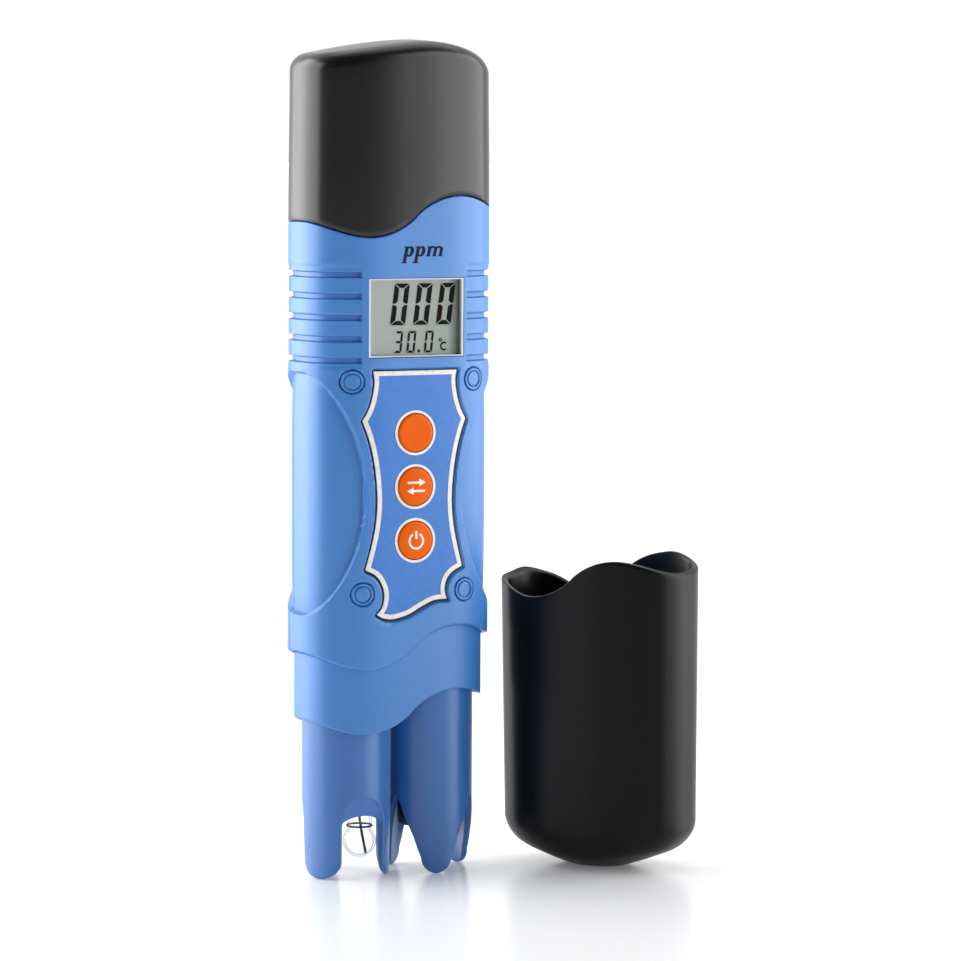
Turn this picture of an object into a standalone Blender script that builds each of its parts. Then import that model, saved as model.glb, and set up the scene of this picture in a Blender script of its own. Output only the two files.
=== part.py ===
"""Digital water tester: a pen meter with two probes and a loose protective cap.

Frame: metres, +Z up, standing on the tips of the probe guards.  The display
faces -Y.  The meter's own axis is METER_AT, and the protective cap stands
beside it, turned by CAP_TURN.  Sizes below are in millimetres.
"""
import math

import bmesh
import bpy
from mathutils import Matrix, Vector

MM = 0.001

# ---------------------------------------------------------------- dimensions
METER_AT = (-21.894, 10.766)        # meter axis in the object's frame
CAP_OFFSET = (47.9, -13.0)         # protective cap, measured from the meter axis
CAP_TURN = math.radians(-58.0)

TOTAL_H = 189.0                    # leg tips to the crown of the battery cap
OVAL_N = 2.9                       # superellipse exponent of every oval section
OVAL_COUNT = 32                    # points round an oval section
BODY_A, BODY_B = 23.1, 13.9        # half width and half depth of the casing
FRONT_FLAT = 13.65                 # the front is flattened at this depth
CAVITY_A, CAVITY_B = 21.1, 11.6    # inside of the two half shells
SPLIT_Y = 4.0                      # parting plane of the shells
GAP = 0.3                          # clearance between touching pieces

WAVE_AMP, WAVE_PEAK, WAVE_POW = 4.6, 11.2, 0.84
WAVE_TOP, WAVE_LOW, WAVE_COLLAR = 149.5, 52.4, 37.9

COLLAR_A, COLLAR_B = 21.7, 12.5
TENON_A, TENON_B = 20.8, 11.3      # also the section of the battery neck
TUBE_X, TUBE_R, TUBE_WALL = 10.5, 10.05, 1.65
BULKHEAD = (46.0, 49.0)

CAP_IN_A, CAP_IN_B = 21.5, 12.3
PROT_RIM = 67.0                    # middle height of the protective cap's rim
PROT_WALL = 1.35
PROT_DRAFT = 0.0105                # taper per mm of height

LCD_W, LCD_H, LCD_Z = 24.4, 17.7, 127.25
KEY_Z = (101.1, 89.0, 76.9)
KEY_R, KEY_TRAVEL = 4.25, 0.4
GROOVE_Z = (136.6, 131.75, 126.9, 122.05, 117.2)
GROOVE_H, GROOVE_D, GROOVE_X = 1.45, 1.1, 13.5
PLUG_AT = ((-15.2, 112.8), (15.2, 112.8), (-12.8, 65.2), (12.8, 65.2))
GRIP_Z, GRIP_DEPTH = 87.3, 0.9

# ------------------------------------------------------------------- scene
for old in list(bpy.data.objects):
    bpy.data.objects.remove(old, do_unlink=True)

scene = bpy.context.scene
parts = bpy.data.collections.new("digital_water_tester")
cutters = bpy.data.collections.new("cutters")
scene.collection.children.link(parts)
scene.collection.children.link(cutters)

meter = bpy.data.objects.new("meter_frame", None)
meter.location = (METER_AT[0] * MM, METER_AT[1] * MM, 0)
parts.objects.link(meter)
cap_frame = bpy.data.objects.new("cap_frame", None)
cap_frame.location = ((METER_AT[0] + CAP_OFFSET[0]) * MM,
                      (METER_AT[1] + CAP_OFFSET[1]) * MM, 0)
cap_frame.rotation_euler = (0, 0, CAP_TURN)
parts.objects.link(cap_frame)


def material(name, colour, rough, metal=0.0, alpha=1.0):
    m = bpy.data.materials.new(name)
    m.use_nodes = True
    b = m.node_tree.nodes["Principled BSDF"]
    b.inputs["Base Color"].default_value = (*colour, 1)
    b.inputs["Roughness"].default_value = rough
    b.inputs["Metallic"].default_value = metal
    b.inputs["Alpha"].default_value = alpha
    return m


BLUE = ((0.075, 0.24, 0.60), 0.42)
BLACK = ((0.012, 0.012, 0.013), 0.38)
WHITE = ((0.82, 0.80, 0.76), 0.5)
ORANGE = ((0.88, 0.16, 0.02), 0.45)
STEEL = ((0.55, 0.55, 0.56), 0.25, 1.0)
RUBBER = ((0.02, 0.02, 0.02), 0.8)
GLASS = ((0.85, 0.9, 0.95), 0.05, 0.0, 0.35)
PCB = ((0.02, 0.18, 0.08), 0.5)


def keep(obj, name, look, parent=meter):
    """Name a finished piece, give it its own material and file it."""
    obj.name = name
    obj.data.name = name
    obj.data.materials.clear()
    obj.data.materials.append(material(name, *look))
    for c in list(obj.users_collection):
        c.objects.unlink(obj)
    parts.objects.link(obj)
    obj.parent = parent
    obj.data.shade_smooth()
    obj.data.set_sharp_from_angle(angle=math.radians(32))
    return obj


def tool(obj, parent=meter):
    """File a cutter: wire display, never rendered."""
    for c in list(obj.users_collection):
        c.objects.unlink(obj)
    cutters.objects.link(obj)
    obj.name = "cut_" + obj.name
    obj.display_type = 'WIRE'
    obj.hide_render = True
    obj.parent = parent
    return obj


def combine(obj, other, how='DIFFERENCE'):
    mod = obj.modifiers.new(how.lower(), 'BOOLEAN')
    mod.object = other
    mod.operation = how
    mod.solver = 'EXACT'
    return obj


# ------------------------------------------------------------- shape makers
def curve_to_mesh(obj):
    """A curve's evaluated shape as a welded mesh object at the same place."""
    bpy.context.view_layer.update()
    dg = bpy.context.evaluated_depsgraph_get()
    me = bpy.data.meshes.new_from_object(obj.evaluated_get(dg))
    bm = bmesh.new()
    bm.from_mesh(me)
    bmesh.ops.remove_doubles(bm, verts=bm.verts, dist=1e-6)
    bmesh.ops.recalc_face_normals(bm, faces=bm.faces)
    bm.to_mesh(me)
    bm.free()
    new = bpy.data.objects.new(obj.name + "_mesh", me)
    new.matrix_world = obj.matrix_world.copy()
    scene.collection.objects.link(new)
    bpy.data.objects.remove(obj, do_unlink=True)
    return new


def flat_curve(name, points, half):
    cu = bpy.data.curves.new(name, 'CURVE')
    cu.dimensions = '2D'
    cu.fill_mode = 'BOTH'
    cu.extrude = half
    sp = cu.splines.new('POLY')
    sp.points.add(len(points) - 1)
    for p, (u, v) in zip(sp.points, points):
        p.co = (u * MM, v * MM, 0, 1)
    sp.use_cyclic_u = True
    ob = bpy.data.objects.new(name, cu)
    scene.collection.objects.link(ob)
    return ob


def plan_prism(name, points, z0, z1):
    """An outline in plan, drawn up from z0 to z1."""
    ob = flat_curve(name, points, (z1 - z0) / 2 * MM)
    ob.location = (0, 0, (z0 + z1) / 2 * MM)
    return curve_to_mesh(ob)


def front_prism(name, points, y0, y1):
    """An outline in front view (x, z), drawn back from y0 to y1."""
    ob = flat_curve(name, points, (y1 - y0) / 2 * MM)
    ob.rotation_euler = (math.pi / 2, 0, 0)
    ob.location = (0, (y0 + y1) / 2 * MM, 0)
    return curve_to_mesh(ob)


def box(name, lo, hi):
    bpy.ops.mesh.primitive_cube_add(size=1)
    ob = bpy.context.object
    ob.name = name
    for v in ob.data.vertices:
        v.co = [(lo[i] + (v.co[i] + 0.5) * (hi[i] - lo[i])) * MM for i in range(3)]
    return ob


def cylinder(name, r, lo, hi, at=(0, 0), axis='Z', sides=24):
    """A cylinder along Z at (x, y), or along Y at (x, z)."""
    bpy.ops.mesh.primitive_cylinder_add(vertices=sides, radius=r * MM, depth=(hi - lo) * MM)
    ob = bpy.context.object
    ob.name = name
    mid = (lo + hi) / 2
    if axis == 'Z':
        ob.location = (at[0] * MM, at[1] * MM, mid * MM)
    else:
        ob.rotation_euler = (math.pi / 2, 0, 0)
        ob.location = (at[0] * MM, mid * MM, at[1] * MM)
    return ob


def turned(name, profile, at=(0, 0), steps=32):
    """A profile of (r, z), top to bottom along the outside, spun about Z."""
    me = bpy.data.meshes.new(name)
    me.from_pydata([(r * MM, 0, z * MM) for r, z in profile],
                   [(i, i + 1) for i in range(len(profile) - 1)], [])
    ob = bpy.data.objects.new(name, me)
    scene.collection.objects.link(ob)
    ob.location = (at[0] * MM, at[1] * MM, 0)
    sc = ob.modifiers.new("turn", 'SCREW')
    sc.axis = 'Z'
    sc.steps = sc.render_steps = steps
    sc.use_merge_vertices = True
    sc.merge_threshold = 0.00001
    return ob


def tube_curve(name, points, r, cyclic=False, resolution=2):
    cu = bpy.data.curves.new(name, 'CURVE')
    cu.dimensions = '3D'
    cu.bevel_depth = r * MM
    cu.bevel_resolution = resolution
    cu.use_fill_caps = not cyclic
    sp = cu.splines.new('POLY')
    sp.points.add(len(points) - 1)
    for p, co in zip(sp.points, points):
        p.co = (co[0] * MM, co[1] * MM, co[2] * MM, 1)
    sp.use_cyclic_u = cyclic
    ob = bpy.data.objects.new(name, cu)
    scene.collection.objects.link(ob)
    return curve_to_mesh(ob)


def loft(name, rings):
    """Skin a stack of rings with equal counts and close both ends."""
    me = bpy.data.meshes.new(name)
    bm = bmesh.new()
    rows = [[bm.verts.new(Vector(p) * MM) for p in ring] for ring in rings]
    n = len(rows[0])
    for a, b in zip(rows, rows[1:]):
        for i in range(n):
            j = (i + 1) % n
            bm.faces.new((a[i], a[j], b[j], b[i]))
    bm.faces.new(list(reversed(rows[0])))
    bm.faces.new(rows[-1])
    bmesh.ops.recalc_face_normals(bm, faces=bm.faces)
    bmesh.ops.triangulate(bm, faces=[f for f in bm.faces if len(f.verts) > 4])
    bm.to_mesh(me)
    bm.free()
    ob = bpy.data.objects.new(name, me)
    scene.collection.objects.link(ob)
    return ob


# ----------------------------------------------------------------- outlines
def oval(a, b, count=OVAL_COUNT, flat=None):
    pts = []
    for i in range(count):
        t = 2 * math.pi * (i + 0.5) / count
        c, s = math.cos(t), math.sin(t)
        x = a * math.copysign(abs(c) ** (2 / OVAL_N), c)
        y = b * math.copysign(abs(s) ** (2 / OVAL_N), s)
        if flat is not None:
            y = max(y, -flat)
        pts.append((x, y))
    return pts


def wave(x):
    """Rise and fall of every joint line, seen from the front."""
    return WAVE_AMP * math.copysign(
        math.sin(math.pi / 2 * (abs(x) / WAVE_PEAK) ** WAVE_POW), x) if x else 0.0


def wave_tool(name, level, side, depth=40.0):
    """Everything above (side 1) or below (side -1) a wavy line."""
    xs = [-27 + 54 * i / 18 for i in range(19)]
    pts = [(x, level + wave(max(-24, min(24, x)))) for x in xs]
    pts += [(27, level + side * 150), (-27, level + side * 150)]
    return front_prism(name, pts, -depth, depth)


def grip_outline(side, grow=0.0):
    """The bow-shaped hollow in each flank, front view."""
    pts = []
    for i in range(13):
        u = -1 + 2 * i / 12
        z = GRIP_Z + u * 27.6
        x = 12.1 + 10.7 * abs(u * 27.6 / 27.0) ** 2.2
        pts.append((side * x, z))
    pts += [(side * 27, GRIP_Z + 27.6), (side * 27, GRIP_Z - 27.6)]
    return pts


def side_ring(side, a, b, inner):
    """Plan outline of the band cut by one finger groove, beyond GROOVE_X."""
    def arc(ha, hb):
        out = []
        for i in range(9):
            t = -math.pi / 2 + math.pi * i / 8
            c, s = math.cos(t), math.sin(t)
            x = ha * abs(c) ** (2 / OVAL_N)
            y = hb * math.copysign(abs(s) ** (2 / OVAL_N), s)
            if x >= GROOVE_X:
                out.append((x, y))
        yl = hb * (1 - (GROOVE_X / ha) ** OVAL_N) ** (1 / OVAL_N)
        return [(GROOVE_X, -yl)] + out + [(GROOVE_X, yl)]
    outer = arc(a + 2, b + 2)
    inn = arc(a - inner, b - inner)
    pts = outer + list(reversed(inn))
    return [(side * x, y) for x, y in pts]


def grown(points, d):
    """A closed outline moved outward by d, its corners mitred."""
    n = len(points)
    area = sum(points[i][0] * points[(i + 1) % n][1] - points[(i + 1) % n][0] * points[i][1]
               for i in range(n))
    turn = 1 if area > 0 else -1
    out = []
    for i in range(n):
        p0, p1, p2 = Vector(points[i - 1]), Vector(points[i]), Vector(points[(i + 1) % n])
        e0, e1 = (p1 - p0).normalized(), (p2 - p1).normalized()
        n0, n1 = Vector((e0.y, -e0.x)) * turn, Vector((e1.y, -e1.x)) * turn
        m = (n0 + n1).normalized()
        q = p1 + m * (d / max(0.5, m.dot(n1)))
        out.append((q.x, q.y))
    return out


def membrane_outline(grow=0.0):
    """The key panel: notched corners, waisted sides and an S-shaped foot, front view."""
    side = [(10.45, 115.1), (10.15, 112.6), (10.7, 109.2), (11.6, 106.4), (12.95, 104.0),
            (11.75, 101.0), (10.6, 96.9), (9.75, 92.0), (9.4, 86.0), (9.8, 80.4),
            (10.8, 75.7), (12.2, 70.6)]
    right = side + [(9.6, 69.4), (8.1, 67.7), (7.6, 65.5), (8.15, 63.3)]
    foot = [(4.8, 63.1), (1.4, 61.7), (-1.6, 60.2), (-5.3, 59.35), (-7.8, 59.6), (-9.5, 60.5)]
    left = [(-8.1, 62.2), (-7.6, 64.7), (-8.1, 67.0), (-9.6, 69.2)]
    pts = right + foot + left + [(-x, z) for x, z in reversed(side)]
    return grown(pts, grow) if grow else pts


# ---------------------------------------------------------------- the casing
wave_top_above = tool(wave_tool("above_top_wave", WAVE_TOP - GAP / 2, 1))
wave_top_below = tool(wave_tool("below_top_wave", WAVE_TOP + GAP / 2, -1))
wave_low_below = tool(wave_tool("below_low_wave", WAVE_LOW + GAP / 2, -1))
wave_low_above = tool(wave_tool("above_low_wave", WAVE_LOW - GAP / 2, 1))
collar_below = tool(wave_tool("below_collar_wave", WAVE_COLLAR, -1))
cavity = tool(plan_prism("cavity", oval(CAVITY_A, CAVITY_B), 30, 170))

grooves = []
for side, tag in ((-1, "left"), (1, "right")):
    for i, z in enumerate(GROOVE_Z):
        grooves.append(tool(plan_prism(
            f"groove_{tag}_{i + 1}", side_ring(side, BODY_A, BODY_B, GROOVE_D),
            z - GROOVE_H / 2, z + GROOVE_H / 2)))

grips = []
inner_core = tool(plan_prism("grip_core", oval(BODY_A - GRIP_DEPTH, BODY_B - GRIP_DEPTH), 50, 124))
for side, tag in ((-1, "left"), (1, "right")):
    g = front_prism(f"grip_{tag}", grip_outline(side), -17, 17)
    combine(g, inner_core)
    grips.append(tool(g))

shell_blank = oval(BODY_A, BODY_B, flat=FRONT_FLAT)


def shell(name, cut_y0, cut_y1):
    ob = plan_prism(name, shell_blank, 44, 158)
    half = tool(box(name + "_half", (-30, cut_y0, 30), (30, cut_y1, 170)))
    combine(ob, half)
    combine(ob, cavity)
    combine(ob, wave_top_above)
    combine(ob, wave_low_below)
    for t in grips + grooves:
        combine(ob, t)
    return ob


front = shell("front_shell", SPLIT_Y - GAP / 2, 20)
for i, (x, z) in enumerate(PLUG_AT):
    combine(front, tool(cylinder(f"front_boss_{i}", 3.2, -11.3, -3.2, (x, z), 'Y', 16)), 'UNION')
combine(front, tool(box("lcd_opening", (-LCD_W / 2 - GAP, -16, LCD_Z - LCD_H / 2 - GAP),
                        (LCD_W / 2 + GAP, -9, LCD_Z + LCD_H / 2 + GAP))))
combine(front, tool(front_prism("membrane_recess", membrane_outline(GAP), -16, -12.75)))
for i, z in enumerate(KEY_Z):
    combine(front, tool(cylinder(f"key_hole_{i}", KEY_R + 0.35, -16, -9, (0, z), 'Y')))
for i, (x, z) in enumerate(PLUG_AT):
    combine(front, tool(cylinder(f"plug_seat_{i}", 2.65, -16, -11.0, (x, z), 'Y', 16)))
    combine(front, tool(cylinder(f"head_seat_{i}", 2.2, -12, -9.4, (x, z), 'Y', 16)))
    combine(front, tool(cylinder(f"screw_way_{i}", 1.35, -11, 0, (x, z), 'Y', 12)))
keep(front, "front_shell", BLUE)

rear = shell("rear_shell", -20, SPLIT_Y + GAP / 2)
for i, (x, z) in enumerate(PLUG_AT):
    combine(rear, tool(cylinder(f"rear_boss_{i}", 2.6, -2.9, 10.9, (x, z), 'Y', 16)), 'UNION')
    combine(rear, tool(cylinder(f"rear_screw_way_{i}", 1.3, -4, 7.4, (x, z), 'Y', 12)))
# a flat pad for the rating label
combine(rear, tool(box("label_flat", (-12, BODY_B - 0.5, 72), (12, 20, 118))))
keep(rear, "rear_shell", BLUE)

# ------------------------------------------------- fasteners and their plugs
corner = ("upper_left", "upper_right", "lower_left", "lower_right")
for tag, (x, z) in zip(corner, PLUG_AT):
    head = cylinder("screw", 1.9, -10.9, -9.7, (x, z), 'Y', 12)
    shank = tool(cylinder("shank_" + tag, 1.0, -10.2, 6.6, (x, z), 'Y', 16))
    combine(head, shank, 'UNION')
    slot = tool(box("slot_" + tag, (x - 1.4, -11.6, z - 0.25), (x + 1.4, -10.5, z + 0.25)))
    slot2 = tool(box("slotb_" + tag, (x - 0.25, -11.6, z - 1.4), (x + 0.25, -10.5, z + 1.4)))
    combine(head, slot)
    combine(head, slot2)
    keep(head, "screw_" + tag, STEEL)
    face_y = -BODY_B * (1 - (abs(x) / BODY_A) ** OVAL_N) ** (1 / OVAL_N)
    plug = cylinder("plug", 2.3, face_y - 0.1, -11.2, (x, z), 'Y', 16)
    ring = tool(cylinder("plug_ring_" + tag, 1.95, face_y - 1, face_y + 0.3, (x, z), 'Y', 16))
    core = tool(cylinder("plug_core_" + tag, 1.6, face_y - 2, face_y + 2, (x, z), 'Y', 16))
    combine(ring, core)
    combine(plug, ring)
    keep(plug, "screw_plug_" + tag, BLUE)

# -------------------------------------------------------------- the display
def frame_box(name, w, h, t, y0, y1, zc):
    ob = box(name, (-w / 2, y0, zc - h / 2), (w / 2, y1, zc + h / 2))
    combine(ob, tool(box(name + "_hole", (-w / 2 + t, y0 - 1, zc - h / 2 + t),
                         (w / 2 - t, y1 + 1, zc + h / 2 - t))))
    return ob


keep(frame_box("bezel", LCD_W, LCD_H, 0.5, -13.1, -11.5, LCD_Z), "lcd_bezel", WHITE)
keep(box("lens", (-LCD_W / 2 + 0.8, -12.7, LCD_Z - LCD_H / 2 + 0.8),
         (LCD_W / 2 - 0.8, -11.7, LCD_Z + LCD_H / 2 - 0.8)), "lcd_window", GLASS)
keep(box("lcd", (-12.1, -11.2, 118.5), (12.1, -9.6, 136.0)), "lcd_display",
     ((0.38, 0.42, 0.38), 0.3))
for tag, z in (("upper", 134.8), ("lower", 119.7)):
    keep(box("zebra", (-11.0, -9.3, z - 0.9), (11.0, -7.9, z + 0.9)), f"zebra_strip_{tag}",
         ((0.75, 0.45, 0.5), 0.7))
pcb = box("pcb", (-11.6, -7.6, 70), (11.6, -6.0, 139.5))
keep(pcb, "main_circuit_board", PCB)
keep(box("chip", (-4.5, -5.7, 106), (4.5, -4.3, 115)), "controller_chip", BLACK)
keep(cylinder("buzzer", 4.2, -5.7, -2.9, (4.5, 82), 'Y', 16), "buzzer", BLACK)

# ------------------------------------------------------ key panel and keys
membrane = front_prism("membrane", membrane_outline(), -13.5, -13.05)
for i, z in enumerate(KEY_Z):
    combine(membrane, tool(cylinder(f"membrane_hole_{i}", KEY_R + 0.35, -14, -12, (0, z), 'Y')))
keep(membrane, "membrane_overlay", ((0.10, 0.28, 0.66), 0.45))

for tag, z in zip(("select", "mode", "power"), KEY_Z):
    key = cylinder("key", KEY_R, -13.75, -12.0, (0, z), 'Y')
    stem = tool(cylinder("key_stem_" + tag, 1.7, -12.4, -9.0, (0, z), 'Y', 16))
    skirt = tool(cylinder("key_skirt_" + tag, KEY_R + 0.9, -11.0, -10.3, (0, z), 'Y'))
    body = tool(cylinder("key_body_" + tag, 3.2, -12.4, -10.6, (0, z), 'Y', 16))
    for t in (body, skirt, stem):
        combine(key, t, 'UNION')
    keep(key, f"key_{tag}", ORANGE)
    sw = cylinder("switch", 2.6, -8.45, -7.9, (0, z), 'Y', 12)
    keep(sw, f"dome_switch_{tag}", STEEL)

# ------------------------------------------------------------ sensor collar
collar = plan_prism("collar", oval(COLLAR_A, COLLAR_B), 28, 60)
combine(collar, wave_low_above)
combine(collar, tool(plan_prism("tenon", oval(TENON_A, TENON_B), 45.5, 60)), 'UNION')
combine(collar, collar_below)
combine(collar, tool(plan_prism("pocket", oval(20.9, 11.35), 20, BULKHEAD[0])))
combine(collar, tool(plan_prism("upper_pocket", oval(TENON_A - 1.6, TENON_B - 1.6),
                                BULKHEAD[1], 70)))
combine(collar, tool(cylinder("ph_bore", 5.3, 40, 55, (-TUBE_X + 3.0, 0))))
combine(collar, tool(cylinder("tds_bore", 7.3, 40, 55, (TUBE_X, 0))))
ring_path = [(x, y, 58.2) for x, y in oval(TENON_A - 0.5, TENON_B - 0.5, 24)]
band = plan_prism("ring_groove", oval(TENON_A + 2, TENON_B + 2), 57.4, 59.0)
combine(band, tool(plan_prism("ring_groove_core", oval(TENON_A - 1.25, TENON_B - 1.25), 56, 60.5)))
combine(collar, tool(band))
keep(collar, "sensor_collar", BLUE)
keep(tube_curve("oring", ring_path, 0.45, True), "collar_o_ring", RUBBER)


# -------------------------------------------------------------- guard tubes
def guard(name, x, height, openings):
    ro, ri = TUBE_R, TUBE_R - TUBE_WALL
    prof = [(ri, height), (ro, height), (ro, 30), (ro - 0.25, 12), (ro - 0.45, 1.2),
            (ro - 0.75, 0.0), (ri + 0.15, 0.0), (ri, 1.0), (ri, height)]
    ob = turned(name, prof, (x, 0), 36)
    for i, (ang, outline) in enumerate(openings):
        ob2 = flat_curve(f"{name}_way_{i}", outline, 4.5 * MM)
        ob2.rotation_euler = (math.pi / 2, 0, math.radians(ang + 90))
        d = Vector((math.cos(math.radians(ang)), math.sin(math.radians(ang)))) * 8.5
        ob2.location = ((x + d.x) * MM, d.y * MM, 0)
        combine(ob, tool(curve_to_mesh(ob2)))
    return ob


arch = [(-7.4, -2), (-6.7, 0.0), (-5.9, 1.4), (-5.5, 3.2), (-5.4, 6.0), (-5.4, 12.0)]
arch += [(-5.4 * math.cos(math.pi * i / 12), 12.0 + 5.6 * math.sin(math.pi * i / 12))
         for i in range(1, 12)]
arch += [(-x, z) for x, z in reversed(arch[:6])]
vee = [(-8.6, -2), (-7.6, 0.0), (-6.6, 1.6), (-5.75, 3.0), (-4.3, 8.2), (-3.3, 11.4),
       (-1.5, 15.2), (-0.6, 16.8)]
vee = vee + [(0.0, 17.5)] + [(-x, z) for x, z in reversed(vee)]
rear_arch = [(-6.3, -2), (-6.0, 0.0), (-5.6, 1.4), (-5.4, 3.2)] + arch[4:-4]
rear_arch += [(-x, z) for x, z in reversed(rear_arch[:4])]
keep(guard("ph_guard", -TUBE_X, 45.7, ((-90, arch), (42, rear_arch), (138, rear_arch))),
     "ph_guard_tube", BLUE)
keep(guard("tds_guard", TUBE_X, 45.7, ((-45, vee), (-165, vee), (75, vee))),
     "tds_guard_tube", BLUE)

# ------------------------------------------------------------ pH electrode
PH_AT = (-TUBE_X + 3.0, 0.0)
bulb_z, bulb_r, stem_r = 7.8, 3.8, 2.95
outer = [(stem_r, 44.0), (stem_r, 14.0), (stem_r - 0.1, 11.6)]
lead = math.asin(2.6 / bulb_r)
outer += [(bulb_r * math.sin(lead + (math.pi - lead) * i / 7),
           bulb_z + bulb_r * math.cos(lead + (math.pi - lead) * i / 7)) for i in range(7)]
outer += [(0.0, bulb_z - bulb_r)]
wall = 0.5
inner = [(0.0, bulb_z - bulb_r + wall)]
inner += [((bulb_r - wall) * math.sin(math.pi - (math.pi - lead) * i / 7),
           bulb_z + (bulb_r - wall) * math.cos(math.pi - (math.pi - lead) * i / 7))
          for i in range(1, 8)]
inner += [(stem_r - 0.1 - wall, 12.0), (stem_r - wall, 14.0), (stem_r - wall, 44.0)]
keep(turned("ph_glass", outer + inner + [outer[0]], PH_AT, 20), "ph_glass_bulb", GLASS)
keep(tube_curve("ph_wire", [(PH_AT[0], 0, 42), (PH_AT[0], 0, 24), (PH_AT[0] + 0.1, 0, 14),
                            (PH_AT[0] + 0.4, -0.1, 9.6), (PH_AT[0] + 1.0, -0.2, 5.2)], 0.28),
     "ph_reference_wire", ((0.05, 0.05, 0.05), 0.4))
keep(turned("ph_ring", [(3.9, 13.4), (4.1, 12.8), (3.9, 12.2), (3.3, 12.2), (3.3, 13.4),
                        (3.9, 13.4)], PH_AT, 20), "ph_bulb_collar", ((0.10, 0.05, 0.30), 0.3))
keep(turned("ph_sleeve", [(3.3, 52.5), (5.0, 52.5), (5.0, 51.0), (6.0, 51.0), (6.0, 49.3),
                          (5.0, 49.3), (5.0, 22.0), (3.3, 22.0), (3.3, 44.3), (1.2, 44.3),
                          (1.2, 52.5), (3.3, 52.5)], PH_AT, 20), "ph_electrode_sleeve", BLACK)

# ---------------------------------------------- conductivity probe (TDS)
probe = turned("tds_body", [(0.0, 52.5), (4.0, 52.5), (4.0, 51.0), (8.0, 51.0), (8.0, 49.3),
                            (7.0, 49.3), (7.0, 10.8), (6.2, 10.0), (0.0, 10.0)],
               (TUBE_X, 0), 24)
pins = (("left", -2.6, -1.2), ("right", 2.6, -1.2))
for tag, dx, dy in pins:
    combine(probe, tool(cylinder("pin_bore_" + tag, 1.1, 5, 20, (TUBE_X + dx, dy), 'Z', 20)))
combine(probe, tool(cylinder("ntc_bore", 1.4, 5, 22, (TUBE_X, 3.0), 'Z', 20)))
keep(probe, "tds_probe_body", BLACK)
for tag, dx, dy in pins:
    keep(turned("pin", [(0.0, 19.6), (0.8, 19.6), (0.8, 5.6), (0.55, 5.0), (0.0, 5.0)],
                (TUBE_X + dx, dy), 20), f"tds_pin_{tag}", STEEL)
keep(turned("ntc", [(0.0, 21.6), (1.1, 21.6), (1.1, 6.2), (0.7, 5.3), (0.0, 5.0)],
            (TUBE_X, 3.0), 20), "temperature_sensor", STEEL)

# --------------------------------------------------- neck and battery stack
neck = plan_prism("neck", oval(TENON_A, TENON_B), 141, 181.5)
combine(neck, tool(plan_prism("neck_bore", oval(19.4, 9.9), 130, 190)))
seal_path = [(x, y, 159.0) for x, y in oval(TENON_A - 0.3, TENON_B - 0.3, 24)]
band = plan_prism("seal_groove", oval(TENON_A + 2, TENON_B + 2), 158.2, 159.8)
combine(band, tool(plan_prism("seal_groove_core", oval(TENON_A - 1.1, TENON_B - 1.1), 157, 161)))
combine(neck, tool(band))
keep(neck, "battery_neck", BLUE)
keep(tube_curve("seal", seal_path, 0.5, True), "battery_cap_o_ring", RUBBER)
holder = plan_prism("holder", oval(19.0, 9.5), 141.5, 174)
combine(holder, tool(cylinder("cell_bore", 6.15, 144, 180, (0, 0))))
for tag, sx in (("left", -1), ("right", 1)):
    combine(holder, tool(box("lighten_" + tag, (min(sx * 8.2, sx * 16), -6, 144),
                             (max(sx * 8.2, sx * 16), 6, 180))))
combine(holder, tool(cylinder("lead_way", 1.0, 130, 150, (0, 0), 'Z', 16)))
keep(holder, "battery_holder", ((0.04, 0.04, 0.045), 0.5))
coil = [(4.2 * math.cos(2 * math.pi * i / 10), 4.2 * math.sin(2 * math.pi * i / 10),
         144.7 + 3.2 * i / 30) for i in range(31)]
keep(tube_curve("spring", coil, 0.32), "battery_spring", STEEL)
for i in range(4):
    z = 148.8 + i * 5.7
    keep(turned("cell", [(0.0, z + 5.4), (4.6, z + 5.4), (5.0, z + 5.1), (5.8, z + 5.0),
                         (5.8, z), (0.0, z)], (0, 0), 16),
         f"button_cell_{i + 1}", STEEL)
plate = box("plate", (-5.0, -2.5, 171.9), (5.0, 2.5, 172.4))
combine(plate, tool(cylinder("plate_dimple", 0.8, 170, 175, (0, 0), 'Z', 16)))
keep(plate, "battery_contact", ((0.75, 0.55, 0.25), 0.3, 1.0))


# ------------------------------------------------------ the two black caps
def crown(x):
    """How far the top of the battery cap falls away from its ridge."""
    ridge = 3.2
    if x < ridge:
        u = (ridge - x) / 24.0
        return 3.6 * u ** 1.45
    return 4.6 * ((x - ridge) / 18.5) ** 2.1


def cap_rings(a0, b0, zlow, draft, top, drop, r, scale_down=1, edge=0.0):
    """Rings of a closed-end cap: straight side, rounded shoulder, crown."""
    rings = [[(x, y, zlow) for x, y in oval(a0, b0)]]
    steps = [(0.0, -1.0)]
    for k in range(1, 5):
        ph = math.pi / 2 * k / 4
        steps.append((r * (1 - math.cos(ph)), r * (math.sin(ph) - 1) / r))
    for inset, lift in steps:
        ring = []
        for x, y in oval(a0 - edge - inset, b0 - edge - inset):
            ring.append((x, y, top - drop(x, y) + lift * r))
        rings.append(ring)
    for s in (0.72, 0.4, 0.14):
        ring = []
        for x, y in oval((a0 - edge - r) * s, (b0 - edge - r) * s):
            ring.append((x, y, top - drop(x, y)))
        rings.append(ring)
    return rings


def crown_drop(x, y):
    return crown(x) + 0.9 * (y / BODY_B) ** 2


bcap = loft("battery_cap", cap_rings(BODY_A, BODY_B, 140, 0, TOTAL_H, crown_drop, 3.0,
                                     edge=0.35))
combine(bcap, wave_top_below)
bore = tool(loft("cap_bore", cap_rings(CAP_IN_A, CAP_IN_B, 130, 0, TOTAL_H - 1.9, crown_drop,
                                       2.0, edge=0.5)))
combine(bcap, bore)
keep(bcap, "battery_cap", BLACK)


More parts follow.
